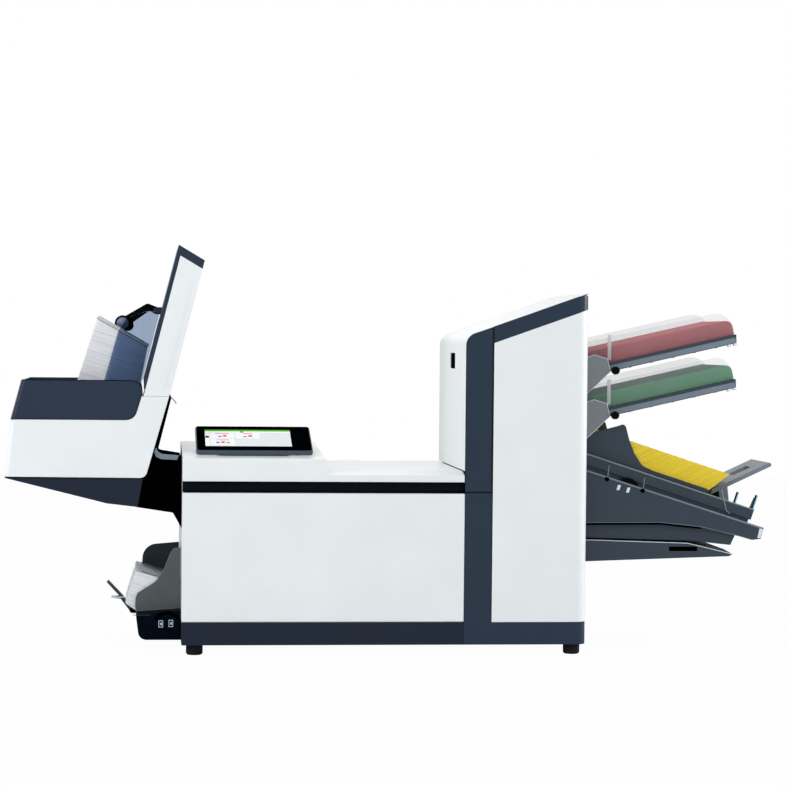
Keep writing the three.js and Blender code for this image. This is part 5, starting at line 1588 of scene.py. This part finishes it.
@dataclass(frozen=True)
class InteriorDetail:
    """Parts on the frame's front plate, which the open door shows."""

    plate_face: float = 30.0
    screw_columns: tuple[float, ...] = (48.0, 166.0, 284.0, 402.0, 522.0)
    screw_rows: tuple[float, ...] = (84.0, 254.0)
    screw_radii: Flat = (3.6, 4.5)
    screw_rise: float = 2.4
    slot_size: Flat = (5.4, 1.0)
    slot_depth: Flat = (-0.1, 0.4)
    pulleys: tuple[Point, ...] = ((430.0, 190.0, 17.0), (250.0, 190.0, 14.0), (340.0, 164.0, 8.0))
    pulley_rise: float = 7.0
    hub_rise: float = 1.0
    hub_share: float = 0.3
    belt_thickness: float = 2.0
    belt_inset: float = 1.2
    knob_middle: Flat = (122.0, 150.0)
    knob_radius: float = 21.0
    knob_rise: float = 9.5
    knob_edge: float = 0.8
    knob_sharper: float = 40.0
    cap_share: float = 0.5
    grip_count: int = 9
    grip_steps: int = 8
    grip_share: float = 0.05
    lever_pivot: Flat = (210.0, 118.0)
    lever_size: Flat = (13.0, 84.0)
    lever_edge: float = 2.0
    lever_lean: float = -20.0
    boss_rise: float = 0.9
    boss_radius: float = 9.75

    def build(self) -> None:
        """Adds the screws, the belt drive, the hand knob and the clearing lever."""
        self.build_screws()
        self.build_belt()
        self.build_knob()
        self.build_lever()

    def build_screws(self) -> None:
        """Adds the screws that hold the front plate, with a black strip in each slot as painted shade."""
        heads, slot_shades = Form(), Form()
        front = self.plate_face - self.screw_rise
        reach, half = self.slot_size[0] / 2, self.slot_size[1] / 2
        near, far = (front + depth for depth in self.slot_depth)
        for x, z in itertools.product(self.screw_columns, self.screw_rows):
            heads.rod((x, front, z), (x, self.plate_face, z), self.screw_radii[0], tip=self.screw_radii[1])
            # A black strip across each head: painted shade of the slot.
            slot_shades.block((x - reach, near, z - half), (x + reach, far, z + half))
        heads.piece("plate_screws", Finishes.BRIGHT, "steel")
        slot_shades.piece("screw_slots", Finishes.PITCH, "black_plastic")

    def build_belt(self) -> None:
        """Adds the pulleys and the belt that runs round them."""
        wheels, rims = Form(), []
        front = self.plate_face - self.pulley_rise
        for x, z, radius in self.pulleys:
            wheels.rod((x, front, z), (x, self.plate_face, z), radius, sides=32)
            wheels.rod((x, front - self.hub_rise, z), (x, front, z), radius * self.hub_share, sides=16)
            rims += arc((x, z), radius + self.belt_thickness, 0.0, 360.0, steps=48)[:-1]
        wheels.piece("drive_pulleys", Finishes.BLACK, "black_plastic")
        Form().band([rims[at] for at in convex_hull_2d(rims)], self.belt_thickness, front + self.belt_inset,
                    self.plate_face - self.belt_inset).piece("drive_belt", Finishes.RUBBER, "rubber")

    def build_knob(self) -> None:
        """Adds the knob, whose rim waves for the fingers, with its round cap."""
        x, z = self.knob_middle
        front = self.plate_face - self.knob_rise
        outline = []
        count = self.grip_count * self.grip_steps
        for step in range(count):
            turn = 2 * math.pi * step / count
            radius = self.knob_radius * (1 - self.grip_share * (1 + math.cos(turn * self.grip_count)))
            outline.append((x + radius * math.cos(turn), z + radius * math.sin(turn)))
        knob = Form().prism(outline, front, self.plate_face).soften(self.knob_edge, over=self.knob_sharper)
        cap = Form().rod((x, front - self.boss_rise, z), (x, front, z), self.knob_radius * self.cap_share, sides=32)
        knob.add(cap).piece("clearing_knob", Finishes.TOUCH, "slate_plastic")

    def build_lever(self) -> None:
        """Adds the lever that clears a paper jam, on its round boss."""
        x, z = self.lever_pivot
        front = self.plate_face - self.knob_rise
        half = self.lever_size[0] / 2
        lever = Form().block((x - half, front, z - half), (x + half, front + half, z + self.lever_size[1]))
        boss = Form().rod((x, front - self.boss_rise, z), (x, self.plate_face, z), self.boss_radius, sides=32)
        lever.soften(self.lever_edge).add(boss).tilt(self.lever_lean, (x, front, z)).piece(
            "clearing_lever", Finishes.TOUCH, "slate_plastic")


@dataclass(frozen=True)
class Studio:
    """Pale floor, soft lamps and the camera of the photograph."""

    camera_place: Point = (-0.49624, -4.9143, 0.603)
    camera_yaw: float = 5.775
    camera_pitch: float = -1.23
    camera_roll: float = 0.555
    camera_lens: float = 113.49
    camera_sensor: float = 36.0
    floor_half: float = 6.0
    floor_colour: str = "eceef0"
    floor_roughness: float = 0.9
    floor_glow: float = 0.97
    sky_strength: float = 0.55
    lamps: tuple[tuple[str, Point, float, float], ...] = (
        ("key", (-2.2, -3.2, 3.0), 2.2, 42.0),
        ("fill", (2.6, -3.4, 2.0), 2.4, 20.0),
        ("side", (3.2, -0.2, 1.0), 0.6, 41.6),
        ("left", (-3.4, -1.6, 1.4), 0.7, 31.2),
        ("back", (-0.5, 3.2, 2.2), 2.2, 14.0),
    )

    def build(self) -> None:
        """Makes the floor, the sky, the lamps and the camera."""
        self.build_floor()
        self.build_sky()
        for lamp in self.lamps:
            self.lamp(*lamp)
        self.build_camera()

    def build_floor(self) -> None:
        """Makes a plain pale floor that keeps the machine's shadow."""
        mesh = bmesh.new()
        bmesh.ops.create_grid(mesh, x_segments=1, y_segments=1, size=self.floor_half)
        data = bpy.data.meshes.new("floor")
        mesh.to_mesh(data)
        mesh.free()
        floor = bpy.data.objects.new("floor", data)
        bpy.context.scene.collection.objects.link(floor)
        shader = Shader.named("floor_pale")
        nodes = shader.material.node_tree.nodes
        shader.surface.inputs["Base Color"].default_value = linear(self.floor_colour)
        shader.surface.inputs["Roughness"].default_value = self.floor_roughness
        glow = shader.add("ShaderNodeEmission", Color=WHITE, Strength=1.0)
        rays = shader.add("ShaderNodeLightPath")
        seen = shader.add("ShaderNodeMath", operation="MULTIPLY")
        seen.inputs[1].default_value = self.floor_glow
        mixed = shader.add("ShaderNodeMixShader")
        shader.join(rays.outputs["Is Camera Ray"], seen.inputs[0])
        shader.join(seen.outputs["Value"], mixed.inputs["Fac"])
        shader.join(shader.surface.outputs["BSDF"], mixed.inputs[1])
        shader.join(glow.outputs["Emission"], mixed.inputs[2])
        shader.join(mixed.outputs["Shader"], nodes["Material Output"].inputs["Surface"])
        data.materials.append(shader.material)

    def build_sky(self) -> None:
        """Makes an even soft sky that the camera and glossy surfaces see as white."""
        world = bpy.data.worlds.new("studio_sky")
        world.use_nodes = True
        bpy.context.scene.world = world
        nodes = world.node_tree.nodes
        links = world.node_tree.links
        sky = nodes["Background"]
        sky.inputs["Color"].default_value = WHITE
        rays = nodes.new("ShaderNodeLightPath")
        largest = nodes.new("ShaderNodeMath")
        largest.operation = "MAXIMUM"
        through = nodes.new("ShaderNodeMath")
        through.operation = "MAXIMUM"
        level = nodes.new("ShaderNodeMapRange")
        level.inputs["To Min"].default_value = self.sky_strength
        level.inputs["To Max"].default_value = 1.0
        links.new(rays.outputs["Is Camera Ray"], largest.inputs[0])
        links.new(rays.outputs["Is Glossy Ray"], largest.inputs[1])
        links.new(largest.outputs["Value"], through.inputs[0])
        links.new(rays.outputs["Is Transmission Ray"], through.inputs[1])
        links.new(through.outputs["Value"], level.inputs["Value"])
        links.new(level.outputs["Result"], sky.inputs["Strength"])

    def lamp(self, name: str, place: Point, size: float, power: float) -> None:
        """Adds a square soft lamp that looks at the machine's middle.

        Args:
            name: the lamp's name.
            place: where it stands, in metres.
            size: its side, in metres.
            power: in watts.
        """
        data = bpy.data.lights.new(name, "AREA")
        data.size = size
        data.energy = power
        lamp = bpy.data.objects.new(name, data)
        bpy.context.scene.collection.objects.link(lamp)
        lamp.location = place
        middle = (Vector(CAD_BOX[0]) + Vector(CAD_BOX[1])) / 2
        lamp.rotation_euler = (middle - Vector(place)).to_track_quat("-Z", "Y").to_euler()

    def build_camera(self) -> None:
        """Sets the camera at the photograph's viewpoint."""
        data = bpy.data.cameras.new("camera")
        data.lens = self.camera_lens
        data.sensor_width = self.camera_sensor
        camera = bpy.data.objects.new("camera", data)
        bpy.context.scene.collection.objects.link(camera)
        yaw = math.radians(self.camera_yaw)
        pitch = math.radians(self.camera_pitch)
        ahead = Vector((math.sin(yaw) * math.cos(pitch), math.cos(yaw) * math.cos(pitch), math.sin(pitch)))
        right = Vector((math.cos(yaw), -math.sin(yaw), 0.0))
        up = right.cross(ahead)
        turn = Matrix((right, up, -ahead)).transposed().to_4x4()
        roll = Matrix.Rotation(math.radians(self.camera_roll), 4, "Z")
        camera.matrix_world = Matrix.Translation(Vector(self.camera_place)) @ turn @ roll
        bpy.context.scene.camera = camera


def main() -> None:
    """Dresses the CAD model, adds each sub-assembly's own pieces and sets up the studio."""
    logging.basicConfig(level=logging.INFO, format="%(name)s: %(message)s")
    bpy.context.scene.view_settings.view_transform = "Standard"
    Studio().build()
    Wardrobe.dress_all()
    LOG.info("dressed %d nodes", len(Wardrobe.DRESSES))
    for corner in (
        Rounded("stacker_rim", "navy_trim", (-316.0, 70.0), lean=15.3),
        Rounded("stacker_shell", "white_cover", (-332.0, 70.0), lean=6.0),
    ):
        corner.build()
    for sheaf in (
        Sheaf("stacked_envelopes", Finishes.PAPER, "white_paper", tilt=10.0, pitch=2.4, gap=0.5, steeper=19.6),
        Sheaf("hopper_envelopes", Finishes.PAPER, "white_paper", tilt=18.0, pitch=2.4),
        Sheaf("document_stack_1", Finishes.GREEN_SHEETS, "green_paper", tilt=-13.0, pitch=2.6, gap=0.2, shift=0.6),
        Sheaf("document_stack_2", Finishes.RED_SHEETS, "red_paper", tilt=-13.0, pitch=2.6, gap=0.2, shift=0.6),
        Sheaf("insert_stack", Finishes.YELLOW_SHEETS, "yellow_paper", tilt=-25.0, pitch=4.0, gap=0.3, shift=1.0),
    ):
        sheaf.build()
    for station in (StationDetail(1, Body.NEAR_GUIDE_1), StationDetail(2, Body.NEAR_GUIDE_2)):
        station.build()
    InsertFeederDetail().build()
    TowerDetail().build()
    InteriorDetail().build()
    Screen().build()
    ShutLines().build()
    StackerDetail().build()
    HopperDetail().build()


if __name__ == "__main__":
    main()
